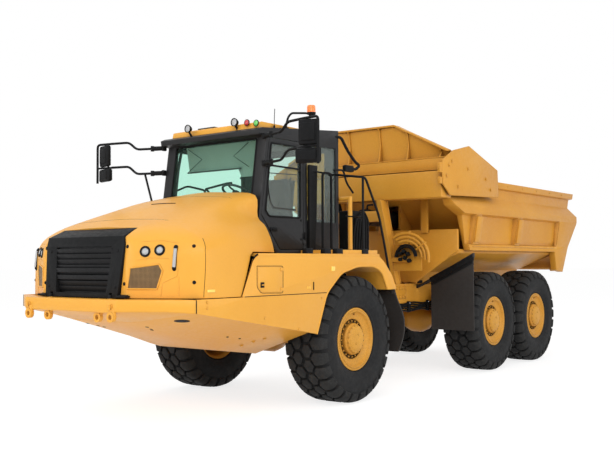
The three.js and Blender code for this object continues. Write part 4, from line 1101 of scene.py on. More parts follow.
def crownedCushion(bm, centre, size, crown, waist, turn, steps=14):
    # closed cushion form: crowned faces, sides drawn in between the corners, a rounded rim
    start = len(bm.verts)
    made = bmesh.ops.create_cube(bm, size=2)["verts"]
    edges = unique(e for v in made for e in v.link_edges)
    bmesh.ops.subdivide_edges(bm, edges=edges, cuts=steps, use_grid_fill=True)
    bm.verts.ensure_lookup_table()
    for v in bm.verts[start:]:
        x, y, z = v.co
        power = 5
        length = (abs(x) ** power + abs(y) ** power + abs(z) ** power) ** (1 / power)
        x, y, z = x / length, y / length, z / length
        x *= 1 - waist * (1 - y * y)
        y *= 1 - waist * (1 - x * x)
        high = crown * (1 - x * x) * (1 - y * y)
        channel = 0.05 * math.exp(-((abs(x) - 0.62) / 0.06) ** 2)
        z = z * (1 + high - channel)
        v.co = turn @ Vector((x * size[0] / 2, y * size[1] / 2, z * size[2] / 2)) + Vector(centre)


def puffed(piece, look):
    # short cloth simulation with inner pressure; the movement of each point is capped
    before = [v.co.copy() for v in piece.data.vertices]
    cloth = piece.modifiers.new("cloth", "CLOTH")
    cloth.settings.use_pressure = True
    cloth.settings.uniform_pressure_force = look["pressure"]
    cloth.settings.effector_weights.gravity = 0
    cloth.settings.quality = 4
    cloth.point_cache.frame_start = 1
    cloth.point_cache.frame_end = look["frames"]
    scene = bpy.context.scene
    for frameNumber in range(1, look["frames"] + 1):
        scene.frame_set(frameNumber)
    graph = bpy.context.evaluated_depsgraph_get()
    result = bpy.data.meshes.new_from_object(piece.evaluated_get(graph))
    after = [v.co.copy() for v in result.vertices]
    piece.modifiers.clear()
    scene.frame_set(1)
    for v, old, new in zip(piece.data.vertices, before, after):
        step = new - old
        if step.length > look["cap"]:
            step = step.normalized() * look["cap"]
        v.co = old + step


def makeSeat():
    look = seatLook
    level = Matrix.Rotation(math.radians(-4), 3, "X")
    lean = Matrix.Rotation(math.radians(97), 3, "X")
    parts = [("seatCushion", (0, -0.07, 2.292), (0.5, 0.5, 0.105), level),
             ("seatBack", (0, 0.205, 2.63), (0.47, 0.62, 0.1), lean)]
    for name, centre, size, turn in parts:
        bm = bmesh.new()
        crownedCushion(bm, spot(*centre), size, look["crown"], look["waist"], turn)
        piece = linked(name, meshOf(name, bm))
        remesh = piece.modifiers.new("remesh", "REMESH")
        remesh.mode = "VOXEL"
        remesh.voxel_size = look["voxel"]
        bakeModifiers(piece)
        puffed(piece, look)
        finer = piece.modifiers.new("finer", "SUBSURF")
        finer.levels = finer.render_levels = 1
        bakeModifiers(piece)
        mesh = piece.data
        bpy.data.objects.remove(piece)
        cushion = placePiece(name, mesh, "tractor", "seatCloth", smooth=60)
    frameBm, belt = bmesh.new(), bmesh.new()
    addBox(frameBm, spot(0, -0.07, 2.225), (0.5, 0.5, 0.04), 0.012)
    addBox(frameBm, spot(0, -0.07, 2.06), (0.3, 0.34, 0.02), 0.006)
    addBox(frameBm, spot(0, -0.07, 1.945), (0.32, 0.38, 0.03), 0.01)
    for k in range(7):
        z = 2.075 + 0.02 * k
        addBox(frameBm, spot(0, -0.07, z), (0.27 - 0.02 * (k % 2), 0.31 - 0.02 * (k % 2), 0.014), 0.005)
    addBox(frameBm, spot(0, 0.268, 2.6), (0.42, 0.035, 0.6), 0.015, Matrix.Rotation(math.radians(-7), 3, "X"))
    for side, _ in bothSides:
        addBox(frameBm, spot(side * 0.275, 0.0, 2.42), (0.06, 0.3, 0.035), 0.014)
        addBar(frameBm, [(0.262, 0.19, 2.3), (0.268, 0.17, 2.41)], 0.014, side=side)
        addBar(frameBm, [(0.25, -0.2, 2.22), (0.27, -0.05, 2.22), (0.27, 0.1, 2.24)], 0.012, side=side)
        addBar(belt, [(0.22, 0.215, 2.93), (0.1, 0.155, 2.7), (0.04, 0.115, 2.5)], 0.012, 8, side=side)
    newPiece("seatFrame", frameBm, "tractor", "cabTrim", ("seat",))
    newPiece("seatBelt", belt, "tractor", "plasticBlack", slotName="cab_trim")
    print("seat ready")


makeSeat()

dashLook = {"wheelRadius": 0.19, "grip": 0.016}


def makeDash():
    look = dashLook
    bm, screen, rubber = bmesh.new(), bmesh.new(), bmesh.new()
    # console in three stepped parts
    addBox(bm, spot(0, -1.0, 2.415), (1.2, 0.17, 0.2), 0.04, Matrix.Rotation(0.12, 3, "X"))
    addBox(bm, spot(0, -0.955, 2.17), (1.1, 0.2, 0.34), 0.03, Matrix.Rotation(-0.42, 3, "X"))
    addBox(bm, spot(0, -0.84, 1.995), (1.0, 0.14, 0.1), 0.02)
    addBox(bm, spot(0, -0.955, 2.53), (0.46, 0.14, 0.06), 0.025, Matrix.Rotation(-0.3, 3, "X"))
    addBar(bm, [(0, -0.98, 2.3), (0, -0.8, 2.5), (0, -0.665, 2.672)], 0.036, 14)
    tilt = Matrix.Translation(spot(0, -0.655, 2.685)) @ Matrix.Rotation(math.radians(-28), 4, "X")
    across = [onCircle(look["grip"], 2 * math.pi * k / 10) for k in range(10)]
    ring = [(look["wheelRadius"] + a, b) for a, b in across]
    turnedRing(bm, ring, tilt, 48, closedLoop=True)
    turnedRing(bm, [(0, -0.03), (0.05, -0.03), (0.055, 0.0), (0.04, 0.012), (0, 0.014)], tilt, 28)
    for a in (0.3, math.pi - 0.3, math.pi * 1.5):
        tip = Vector((*onCircle(look["wheelRadius"], a), 0))
        addTube(bm, [tilt @ (tip * 0.15), tilt @ (tip * 0.6 + Vector((0, 0, -0.008))), tilt @ tip], 0.012, 8)
    for side, _ in bothSides:
        addBar(rubber, [(0.045, -0.71, 2.62), (0.2, -0.735, 2.6)], 0.009, 8, side=side)
    addBox(screen, spot(0.0, -0.905, 2.565), (0.3, 0.012, 0.08), 0.004, Matrix.Rotation(-0.6, 3, "X"))
    addBox(rubber, spot(0.42, -0.93, 2.56), (0.18, 0.02, 0.13), 0.01, Matrix.Rotation(-0.2, 3, "X"))
    for k in range(6):
        addBox(rubber, spot(-0.5 + 0.06 * k, -0.9, 2.525), (0.035, 0.03, 0.016), 0.004)
    for x in (-0.13, 0.13):
        addBox(rubber, spot(x, -0.7, 1.99), (0.1, 0.14, 0.02), 0.006, Matrix.Rotation(-0.7, 3, "X"))
        addBar(rubber, [(x, -0.78, 1.96), (x, -0.72, 1.98)], 0.01, 8)
    newPiece("dashConsole", bm, "tractor", "cabTrim", ("dashboard",))
    newPiece("dashScreen", screen, "tractor", "sideGlass")
    newPiece("dashControls", rubber, "tractor", "plasticBlack", slotName="cab_trim")
    print("dash ready")


makeDash()

mirrorLook = {"tube": 0.016, "heads": [(1.75, -1.385, 3.226, 0.25, 0.29), (1.74, -1.385, 2.963, 0.31, 0.175)]}


def makeMirrors():
    look = mirrorLook
    for side, name in bothSides:
        black, glass = bmesh.new(), bmesh.new()
        t = look["tube"]
        for z, rise in ((3.29, 0.1), (2.96, 0.105)):
            arm = [(0.868, -1.12, z), (1.25, -1.26, z), (1.37, -1.29, z + rise), (1.64, -1.36, z + rise)]
            addBar(black, arm, t, 12, bend=0.05, side=side)
            addBox(black, spot(side * 0.87, -1.12, z), (0.04, 0.07, 0.075), 0.012)
            addBar(black, [(0.9, -1.13, z), (1.03, -1.18, z)], 0.03, 12, side=side)
            addBar(black, [(1.03, -1.18, z - 0.035), (1.03, -1.18, z + 0.035)], 0.024, 12, side=side)
        outer = [(1.64, -1.36, 3.39), (1.89, -1.4, 3.39), (1.89, -1.4, 2.86)]
        addBar(black, outer, t, 12, bend=0.05, steps=5, side=side)
        addBar(black, [(1.64, -1.36, 3.065), (1.89, -1.4, 3.065)], 0.014, side=side)
        addBar(black, [(1.7, -1.37, 3.39), (1.7, -1.37, 2.88)], 0.014, side=side)
        if side < 0:
            # the arm on the right also has a brace down to the cab's corner
            addBar(black, [(1.134, -1.218, 2.955), (0.872, -1.14, 2.0)], 0.014, side=side)
        turn = Matrix.Rotation(math.radians(14) * side, 3, "Z")
        for x, y, z, wide, high in look["heads"]:
            head = Vector(spot(side * x, y, z))
            addBox(black, head, (wide, 0.062, high), 0.026, turn)
            addBox(black, head + turn @ Vector((0, -0.03, 0)), (wide * 0.72, 0.03, high * 0.7), 0.013, turn)
            addBox(glass, head + turn @ Vector((0, 0.031, 0)), (wide - 0.03, 0.006, high - 0.03), 0.0025,
                   turn)
            for dz in (-0.3, 0.3):
                back = head + turn @ Vector((side * -0.02, -0.03, dz * high))
                addTube(black, [back, spot(side * 1.7, -1.39, z + dz * high)], 0.012, 8)
        newPiece(f"mirrorFrame_{name}", black, "tractor", "plasticBlack", (f"mirror_{name}",))
        newPiece(f"mirrorGlass_{name}", glass, "tractor", "brightSteel")
    print("mirrors ready")


makeMirrors()

cabLook = {
    "roofLamps": [(-0.351, -1.19, 3.49), (0.417, -1.15, 3.5)],
    "lampShell": [(0, -0.05), (0.03, -0.045), (0.048, -0.01), (0.052, 0.014), (0.044, 0.014), (0.043, 0.006)],
    "signals": [(0.603, -1.13, 3.478, 0.034), (0.744, -1.12, 3.46, 0.034)],
    "gasket": 0.011,
    # sun blind: steps down and across, drop, longer drop of its last part and where that begins
    "blindSteps": (12, 24), "blindDrop": 0.33, "blindLong": 0.43, "blindJog": 18,
}


def makeCabTrim():
    look = cabLook
    black, lens, red, green, blind, plastic = (bmesh.new() for _ in range(6))
    for x, y, z in look["roofLamps"]:
        matrix = pointing(spot(x, y, z), (0.0, -1, 0.03))
        turnedRing(black, look["lampShell"], matrix, 30)
        turnedRing(lens, [(0.044, 0.006), (0.03, 0.012), (0, 0.016)], matrix, 28)
        addBar(black, [(x, y + 0.02, z - 0.04), (x, y + 0.06, z - 0.09)], 0.014)
    for (x, y, z, r), bm in zip(look["signals"], (red, green)):
        matrix = pointing(spot(x, y, z), (0, -1, 0.05))
        turnedRing(bm, [(0, 0.024), (r * 0.6, 0.021), (r, 0.008), (r, 0.0), (0, 0)], matrix, 24)
        turnedRing(black, [(r, -0.004), (r + 0.008, -0.004), (r + 0.008, 0.006), (r, 0.008)], matrix, 24)
    # roof hatch and aerial
    addBox(plastic, spot(-0.25, -0.85, 3.515), (0.3, 0.24, 0.014), 0.005)
    addBar(black, [(0.755, -0.79, 3.43), (0.757, -0.79, 3.56), (0.76, -0.785, 3.68)], 0.0045, 8)
    addBar(black, [(0.755, -0.79, 3.43), (0.756, -0.79, 3.47)], 0.012)
    # windscreen gasket and two wipers
    def onScreen(x, z, out=0.0):
        return spot(x, -1.2 + (z - 2.3) * 0.1474 - out, z)
    corners = [onScreen(-0.7, 2.48), onScreen(0.7, 2.48), onScreen(0.7, 3.285), onScreen(-0.7, 3.285)]
    addTube(black, roundedPath(corners + corners[:1], 0.04, 4), look["gasket"], 8)
    for pivot in (0.45, -0.35):
        arm = [onScreen(pivot, 2.45, 0.0), onScreen(pivot, 2.46, 0.035), onScreen(pivot - 0.15, 2.5, 0.03),
               onScreen(pivot - 0.3, 2.52, 0.022)]
        addTube(black, roundedPath(arm, 0.02, 4), 0.008, 8)
        addTube(black, [onScreen(pivot - 0.62, 2.505, 0.012), onScreen(pivot - 0.3, 2.52, 0.014),
                        onScreen(pivot + 0.05, 2.535, 0.012)], 0.007, 8)
    # sun blind behind the screen, with its scissor arms
    down, along = look["blindSteps"]
    rows = []
    for i in range(down + 1):
        t = i / down
        row = []
        for k in range(along + 1):
            drop = look["blindDrop"] if k < look["blindJog"] else look["blindLong"]
            place = spot(-0.55 + 1.22 * k / along, -1.02 + 0.1 * t * 0.6 + 0.004 * math.sin(k),
                         3.27 - drop * t)
            row.append(blind.verts.new(place))
        rows.append(row)
    fillRows(blind, rows)
    for x0, x1 in ((-0.5, -0.25), (0.55, 0.3)):
        addBar(black, [(x0, -1.045, 3.25), (x1, -1.04, 3.1), (x0, -1.035, 2.95)], 0.005, 8)
    addBox(plastic, spot(-0.08, -1.0, 2.945), (0.94, 0.02, 0.018), 0.006)
    # grab handle inside the cab on the right, and the door's hinge pins
    grab = [(-0.8, -0.98, 2.72), (-0.76, -0.8, 2.8), (-0.72, -0.5, 2.76), (-0.74, -0.42, 2.6)]
    addBar(black, grab, 0.014, bend=0.05)
    for z in (2.05, 3.07):
        addBar(black, [(0.875, -0.322, z), (0.875, -0.322, z + 0.1)], 0.014)
    # ceiling liner and rear shelf
    addBox(plastic, spot(0, -0.3, 3.33), (1.3, 1.1, 0.02), 0.008)
    addBox(plastic, spot(0, 0.3, 2.28), (1.2, 0.16, 0.05), 0.015)
    for side, _ in bothSides:
        addBar(plastic, [(0.78, -1.02, 2.5), (0.76, -0.97, 3.0), (0.76, -0.9, 3.3)], 0.02, bend=0.05,
               side=side)
    newPiece("cabFittings", black, "tractor", "plasticBlack")
    newPiece("roofLampLenses", lens, "tractor", "clearLens")
    newPiece("signalRed", red, "tractor", "redLens")
    newPiece("signalGreen", green, "tractor", "greenLens")
    newPiece("sunBlind", blind, "tractor", "blindCloth")
    newPiece("cabLining", plastic, "tractor", "cabTrim")
    print("cab ready")


makeCabTrim()


def makeDoorTrim():
    # window gasket, inner handles, latch and outer grip on the hinged door
    bm = bmesh.new()
    pane = [(-1.075, 2.4), (-0.965, 3.23), (-0.39, 3.23), (-0.39, 2.33), (-1.01, 2.33)]
    ring = [spot(0.852, y, z) for y, z in pane]
    addTube(bm, roundedPath(ring + ring[:1], 0.035, 4), 0.011, 8)
    inner = [(0.83, -1.02, 2.75), (0.815, -0.96, 2.52), (0.815, -0.9, 2.44), (0.815, -0.45, 2.43)]
    addBar(bm, inner, 0.014, bend=0.06)
    addBar(bm, [(0.815, -1.0, 2.86), (0.815, -0.42, 2.88)], 0.007, 8)
    addBox(bm, spot(0.857, -0.93, 2.17), (0.018, 0.13, 0.05), 0.006)
    addBar(bm, [(0.874, -0.97, 2.17), (0.874, -0.89, 2.17)], 0.009)
    for z in (2.06, 2.3):
        addBolt(bm, spot(0.851, -0.38, z), (1, 0, 0), 0.011, 0.008)
    grip = [(0.852, -1.05, 2.93), (0.89, -1.0, 2.945), (0.89, -0.46, 2.94), (0.852, -0.4, 2.93)]
    addBar(bm, grip, 0.012, bend=0.04)
    newPiece("doorTrim", bm, "door", "plasticBlack")


makeDoorTrim()

beaconLook = {"post": 0.014, "radius": 0.058, "top": 3.82}


def makeBeacon():
    look = beaconLook
    black, lens = bmesh.new(), bmesh.new()
    post = [(0.8, -0.62, 3.46), (0.8, -0.57, 3.6), (0.8, -0.5, 3.66), (0.8, -0.2, 3.7), (0.8, -0.085, 3.7)]
    addBar(black, post, look["post"], 12, bend=0.04, steps=5)
    addBox(black, spot(0.8, -0.62, 3.455), (0.06, 0.06, 0.02), 0.006)
    base = Matrix.Translation(spot(0.8, -0.085, 0))
    turnedRing(black, [(0, 3.66), (0.03, 3.66), (0.034, 3.69), (0.058, 3.7), (0.06, 3.725), (0, 3.725)], base,
               32)
    r, top = look["radius"], look["top"]
    turnedRing(lens, [(0, 3.7252), (r, 3.7252), (r * 0.97, 3.76), (r * 0.95, top - 0.018),
                      (r * 0.82, top - 0.004), (0, top)], base, 32)
    for k in range(3):
        z = 3.74 + 0.02 * k
        turnedRing(lens, [(r * 0.96, z), (r * 1.01, z + 0.004), (r * 0.96, z + 0.008)], base, 32)
    newPiece("beaconPost", black, "tractor", "plasticBlack", ("beacon",))
    newPiece("beaconLens", lens, "tractor", "amberLens")


makeBeacon()

railLook = {"tube": 0.017}


def makeRails():
    look = railLook
    bm = bmesh.new()
    r = look["tube"]

    def rail(points, radius=r, bend=0.06, side=1):
        addBar(bm, points, radius, 12, bend, 5, side)
    rail([(0.95, -0.05, 1.9), (0.95, -0.05, 2.93), (0.95, 0.14, 2.93), (0.95, 0.14, 1.9)])
    for y in (-0.05, 0.14):
        addBox(bm, spot(0.95, y, 1.907), (0.07, 0.07, 0.015), 0.004)
    # broad black cover of the rear door post, outside the side wall
    cover = [(-0.25, 1.92), (-0.13, 1.92), (-0.095, 2.4), (-0.075, 3.02), (-0.25, 3.02)]
    addPlate(bm, [spot(0.853, y, z) for y, z in cover], (1, 0, 0), 0.04, 0.01)
    rail([(0.87, -0.2, 2.93), (0.9, -0.16, 2.94), (0.905, 0.1, 2.93), (0.95, 0.14, 2.93)], 0.012)
    # guard rails across the rear of the platforms, down to the fenders' rear ends
    for side, _ in bothSides:
        rail([(0.87, 0.2, 2.92), (0.96, 0.2, 2.92), (1.41, 0.21, 2.86), (1.41, 0.27, 2.84),
              (1.41, 0.58, 2.37), (1.41, 0.73, 1.92), (1.4, 0.9, 1.41)], 0.016, 0.1, side)
        rail([(1.41, 0.2, 1.92), (1.41, 0.2, 2.85)], 0.016, side=side)
        rail([(1.0, 0.4, 2.38), (1.2, 0.34, 2.36), (1.41, 0.2, 2.34)], 0.01, side=side)
        addBox(bm, spot(side * 1.4, 0.895, 1.425), (0.06, 0.05, 0.02), 0.005)
        for y in (-0.98, -0.62, -0.37, 0.2):
            addBox(bm, spot(side * 1.415, y, 1.9), (0.07, 0.13, 0.07), 0.008)
    # lamp arm and cables at the cab's rear corner, and the cooling unit and pipes behind the platform
    for side, _ in bothSides:
        rail([(0.82, 0.33, 3.45), (0.86, 0.5, 3.46), (0.87, 0.57, 3.36), (0.87, 0.66, 3.27),
              (0.87, 0.82, 3.15), (0.87, 0.93, 3.11), (0.87, 0.84, 3.05), (0.86, 0.6, 3.04)], 0.02, side=side)
        addBox(bm, spot(side * 0.865, 0.66, 3.045), (0.07, 0.2, 0.09), 0.02)
        rail([(0.84, 0.36, 3.0), (0.86, 0.55, 3.02), (0.86, 0.62, 2.85), (0.86, 0.78, 2.72)], 0.014,
             side=side)
        addBox(bm, spot(side * 0.72, 0.95, 1.9), (0.22, 0.34, 1.16), 0.02)
        addBox(bm, spot(side * 0.55, 0.95, 1.3), (0.3, 0.28, 0.12), 0.01)
        for n in range(4):
            y = 0.8 + 0.05 * n
            rail([(0.83, y, 1.6), (0.86 + 0.012 * n, y, 2.2), (0.87, y + 0.06, 2.4 + 0.03 * n),
                  (0.87, y + 0.18, 2.36), (0.85, y + 0.2, 1.7)], 0.017, side=side)
    newPiece("handRails", bm, "tractor", "plasticBlack", ("handrail",))
    print("rails ready")


makeRails()


guardLook = {
    "ribs": [-1.37, -0.8, -0.29, 0.29, 0.8, 1.37], "half": 1.49, "thick": 0.022, "weld": 0.008,
    "top": 3.86, "foot": 3.322,
    # the top is level to this half width, then falls so much for each metre
    "level": 0.585, "slope": 0.45 / 0.915,
}


def guardTop(x):
    # height of the spill guard's lip at x
    return guardLook["top"] - max(0, abs(x) - guardLook["level"]) * guardLook["slope"]


def makeBladeTrim():
    look = guardLook
    bm = bmesh.new()
    for x in look["ribs"]:
        top = guardTop(x)
        mid = (3.33 + top) / 2
        outline = [(2.421, 3.318), (2.31, 3.318), (2.335, 3.36), (2.375, mid), (2.345, top - 0.05),
                   (2.305, top - 0.008), (2.421, top - 0.008)]
        addPlate(bm, [spot(x - look["thick"] / 2, y, z) for y, z in outline], (1, 0, 0), look["thick"], 0.004)
    # scalloped skin between the ribs
    edges = [-look["half"], *look["ribs"], look["half"]]
    steps = 8
    for x0, x1 in zip(edges, edges[1:]):
        rows = []
        for i in range(steps + 1):
            t = i / steps
            row = []
            for j in range(steps + 1):
                x = x0 + (x1 - x0) * j / steps
                z = look["foot"] + (guardTop(x) - 0.012 - look["foot"]) * t
                depth = 0.07 * (t ** 2) * 0.9 + 0.012 * math.sin(math.pi * j / steps)
                row.append(bm.verts.new(spot(x, 2.416 - depth * 0.9, z)))
            rows.append(row)
        fillRows(bm, rows)
    # lip bar along the guard's top, and the beam's end plates and bolts
    lip = [(-1.49, 3.42), (-0.585, 3.872), (0.585, 3.872), (1.49, 3.42)]
    addTube(bm, [spot(x, 2.312, z - 0.012) for x, z in lip], 0.012, 8)
    for side, _ in bothSides:
        for y, z in ((2.238, 3.183), (2.331, 3.25), (2.842, 3.174), (2.511, 2.877), (3.45, 3.06), (3.62, 2.9),
                     (2.16, 3.02)):
            point, normal = surfaceTree["ejector_blade"].cast((side * 1.75, y, z), (-side, 0, 0))
            if point is not None:
                addBolt(bm, point, normal, 0.021, 0.016)
        for y, z, h in ((2.105, 3.13, 0.15), (2.105, 2.945, 0.1)):
            addBox(bm, spot(side * 1.534, y - 0.085, z), (0.05, 0.07, h), 0.01)
            addBolt(bm, spot(side * 1.532, y - 0.12, z), (0, -1, 0), 0.016, 0.014)
        # rounded edge along the wing and a lifting eye on the beam
        wing = [(2.05, 3.22), (2.39, 3.4), (2.9, 3.515), (3.88, 3.226), (3.91, 2.81), (2.29, 2.755),
                (2.08, 2.9)]
        addTube(bm, [spot(side * 1.551, y, z) for y, z in wing + wing[:1]], 0.0165, 8)
        matrix = Matrix.Translation(spot(side * 1.42, 2.279, 3.19)) @ Matrix.Rotation(math.pi / 2, 4, "X")
        turnedRing(bm, [(0.022, 0), (0.045, 0), (0.045, 0.018), (0.022, 0.018)], matrix, 24, closedLoop=True)
    for z in (3.135, 3.315):
        addBar(bm, [(-1.5, 2.279, z), (1.5, 2.279, z)], look["weld"], 6)
    newPiece("bladeFittings", bm, "ejector", "bodyPaint")
    print("blade ready")


makeBladeTrim()

pipeLook = {
    "centre": (0.79, 1.825), "from": -0.6, "to": 1.75, "gap": 0.058, "pipes": 3, "radius": 0.375,
    "ports": [(-0.1, 0.07), (-0.04, 0.1), (0.03, 0.06), (-0.1, -0.02), (-0.02, 0.0), (0.05, -0.04)],
}


def makePipes():
    # bent pipes and hoses that lead over the pivot, with their fittings
    look = pipeLook
    yellow, black = bmesh.new(), bmesh.new()
    cx, cz = look["centre"]

    def arc(radius, start, end, lean=0.0):
        turns = [start + (end - start) * k / 30 for k in range(31)]
        return [spot(cx + radius * math.sin(a), 2.29 + lean * math.sin(a), cz + radius * math.cos(a))
                for a in turns]
    for n in range(look["pipes"]):
        radius = look["radius"] - look["gap"] * n
        addTube(yellow, arc(radius, look["from"] + 0.08 * n, look["to"] - 0.1 * n, 0.03), 0.024, 12)
    for radius in (0.2, 0.17):
        addTube(black, arc(radius, look["from"] - 0.9, look["to"] - 0.3, -0.02), 0.014, 10)
    for a in (0.15, 0.95):
        tip = Vector((math.sin(a), 0, math.cos(a)))
        addBox(yellow, spot(cx, 2.31, cz) + tip * 0.29, (0.03, 0.05, 0.24), 0.008, Matrix.Rotation(a, 3, "Y"))
    for n, (dx, dz) in enumerate(look["ports"]):
        addBox(black, spot(cx + dx, 2.3, cz + dz), (0.055, 0.07, 0.05), 0.01,
               Matrix.Rotation(0.5 * n, 3, "Y"))
        addBolt(black, spot(cx + dx, 2.266, cz + dz), (0, -1, 0), 0.016, 0.02)
    addBox(yellow, spot(0.66, 2.35, 1.8), (0.28, 0.075, 0.08), 0.01)
    addBox(yellow, spot(0.78, 2.355, 1.83), (0.5, 0.012, 0.4), 0.004)
    newPiece("hoseReel", yellow, "rear_frame", "bodyPaint", ("hose_reel",))
    newPiece("hoseCoil", black, "rear_frame", "plasticBlack")
    print("pipes ready")


makePipes()

frameLook = {"boltRadius": 0.018, "bogiePivot": (4.85, 0.92), "flapSlope": (0.74, 0.36)}


def makeRearTrim():
    look = frameLook
    yellow, black, steel, red, white = (bmesh.new() for _ in range(5))
    # joint ring and its bolts on the front of the pivot housing
    along = Matrix.Rotation(-math.pi / 2, 4, "X")
    turnedRing(black, [(0.175, 1.945), (0.235, 1.945), (0.245, 1.952), (0.245, 1.9599), (0.175, 1.9599)],
               Matrix.Translation(spot(0, 0, 0.95)) @ along, 40, closedLoop=True)
    for k in range(14):
        a = 2 * math.pi * k / 14
        addBolt(steel, spot(0.21 * math.sin(a), 1.945, 0.95 + 0.21 * math.cos(a)), (0, -1, 0), 0.013, 0.012)
    for side, name in bothSides:
        x = side * 0.537
        # hoses that run along the frame between its upper and lower part
        for n in range(5):
            z = 1.115 - 0.028 * n
            path = [spot(x + side * (0.012 + 0.006 * (n % 2)), 2.05 + 0.14 * k,
                         z + 0.012 * math.sin(k * 1.3 + n))
                    for k in range(12)]
            addTube(black, path, 0.012, 8)
        for y in (2.2, 2.75, 3.35):
            addBox(black, spot(x + side * 0.018, y, 1.06), (0.05, 0.05, 0.17), 0.008)
            addBolt(steel, spot(x + side * 0.043, y, 1.12), (side, 0, 0), 0.01, 0.008)
        # bolted seam and doubler plates on the rail
        addBox(yellow, spot(x + side * 0.004, 2.45, 1.29), (0.016, 0.5, 0.2), 0.005)
        for k in range(6):
            for z in (1.355, 1.22):
                place = spot(x + side * 0.012, 2.24 + 0.085 * k, z)
                addBolt(yellow, place, (side, 0, 0), look["boltRadius"], 0.014)
        addBox(black, spot(side * 0.6, 3.02, 1.45), (0.05, 0.12, 0.045), 0.01)
        # hose loop beside the front leg
        loop = [(0.43, 2.19, 2.69), (0.45, 2.27, 2.6), (0.455, 2.3, 2.4), (0.45, 2.33, 2.2),
                (0.46, 2.3, 2.02), (0.5, 2.4, 1.9)]
        for n in range(3):
            path = [(px - 0.024 * n, py + 0.012 * n, pz) for px, py, pz in loop]
            addBar(black, path, 0.014, bend=0.1, steps=5, side=side)
        # edges and pads of the leg
        for y0, z0, y1, z1 in ((2.01, 2.70, 2.44, 1.43), (2.2, 2.70, 2.58, 1.43)):
            addBar(yellow, [(0.517, y0, z0), (0.517, y1, z1)], 0.009, 8, side=side)
        # flap: clamp bar with its bolts, and the steel strip below it
        run, rise = look["flapSlope"]
        slope = Vector((run, 0, rise)).normalized()
        turn = Matrix.Rotation(-math.atan2(rise, run) * side, 3, "Y")
        middle = spot(side * 1.165, 3.034, 1.655)
        addBox(black, middle, (0.83, 0.026, 0.085), 0.006, turn)
        addBox(black, middle + Vector((0, -0.002, -0.078)), (0.8, 0.012, 0.03), 0.004, turn)
        for k in range(7):
            step = (k - 3) * 0.12
            place = middle + Vector((side * slope.x * step, -0.013, slope.z * step))
            addBolt(black, place, (0, -1, 0), 0.011, 0.01)
        addBar(black, [(0.545, 3.06, 1.37), (0.8, 3.06, 1.47)], 0.02, side=side)
        # pivot caps of the bogie beams and their bolts
        y, z = look["bogiePivot"]
        matrix = Matrix.Translation(spot(side * 0.68, y, z)) @ Matrix.Rotation(side * math.pi / 2, 4, "Y")
        turnedRing(yellow, [(0, 0.03), (0.06, 0.03), (0.085, 0.015), (0.09, 0.0), (0, 0)], matrix, 32)
        for k in range(6):
            a = math.pi * k / 3
            place = spot(side * 0.7, y + 0.062 * math.sin(a), z + 0.062 * math.cos(a))
            addBolt(yellow, place, (side, 0, 0), 0.009, 0.01)
        # tail lamps on the frame's end, behind the wheels
        addBox(black, spot(side * 0.62, 6.722, 1.27), (0.26, 0.04, 0.12), 0.012)
        for x1, bm in ((0.56, red), (0.68, white)):
            turnedRing(bm, [(0, 0.016), (0.03, 0.012), (0.042, 0.0), (0, 0)],
                       Matrix.Translation(spot(side * x1, 6.742, 1.27)) @ along, 28)
        addBox(yellow, spot(side * 0.515, 6.71, 1.27), (0.06, 0.02, 0.1), 0.004)
        # bolts, strip, cap plates and ribs on the body's side
        wall = surfaceTree[f"body_side_{name}"]
        for y in [2.62 + 0.6 * k for k in range(8)]:
            point, normal = wall.cast((side * 2.0, y, 3.01), (-side, 0, 0))
            if point is not None:
                addBolt(yellow, point, normal, 0.012, 0.008)
        addBar(yellow, [(1.452, 3.2, 2.0), (1.452, 6.5, 2.0)], 0.007, 6, side=side)
        for y0, y1 in ((3.205, 3.385), (4.765, 4.945)):
            places = ((y0, 2.07), (y1, 2.07), (y1, 2.47), (y0, 2.47))
            corners = [wall.cast((side * 2.0, y, z), (-side, 0, 0))[0] for y, z in places]
            if all(corner is not None for corner in corners):
                addPlate(yellow, corners, (side, 0, 0), 0.035, 0.006)
        for y in (3.2, 3.39, 4.76, 4.95, 6.64):
            line = []
            for k in range(9):
                z = 2.06 + 0.42 * k / 8
                point, _ = wall.cast((side * 2.0, y + 0.004, z), (-side, 0, 0))
                if point is not None:
                    line.append(point)
            if len(line) > 2:
                addTube(yellow, line, 0.007, 6)
    # front wall of the body: stiffeners between the floor and the rail
    for x in (-0.79, 0.0, 0.79):
        addBox(yellow, spot(x, 2.87, 2.5), (0.12, 0.05, 0.56), 0.008)
    newPiece("frameFittings", yellow, "rear_frame", "bodyPaint")
    newPiece("frameHoses", black, "rear_frame", "plasticBlack")
    newPiece("frameSteel", steel, "rear_frame", "brightSteel")
    newPiece("tailLampRed", red, "rear_frame", "redLens")
    newPiece("tailLampWhite", white, "rear_frame", "clearLens")
    print("rear frame ready")


makeRearTrim()


def makeGateTrim():
    # ribs across the outside of the tailgate and its hinge bosses
    bm = bmesh.new()
    turn = Matrix.Rotation(-math.atan2(0.6, 0.803), 3, "X")
    out = Vector((0, 0.803, -0.598))
    for x in (-1.15, -0.58, 0, 0.58, 1.15):
        addBox(bm, spot(x, 7.178, 2.0055) + out * 0.018, (0.07, 0.036, 0.9), 0.008, turn)
    for shift in (-0.4, 0.0, 0.4):
        centre = spot(0, 7.178 + 0.598 * shift, 2.0055 + 0.803 * shift) + out * 0.012
        addBox(bm, centre, (2.6, 0.024, 0.05), 0.006, turn)
    for side, _ in bothSides:
        across = Matrix.Rotation(side * math.pi / 2, 4, "Y")
        turnedRing(bm, [(0, -0.03), (0.05, -0.03), (0.05, 0.03), (0, 0.03)],
                   Matrix.Translation(spot(side * 1.27, 6.872, 1.625)) @ across, 28)
    newPiece("gateRibs", bm, "tailgate", "bodyPaint")


makeGateTrim()


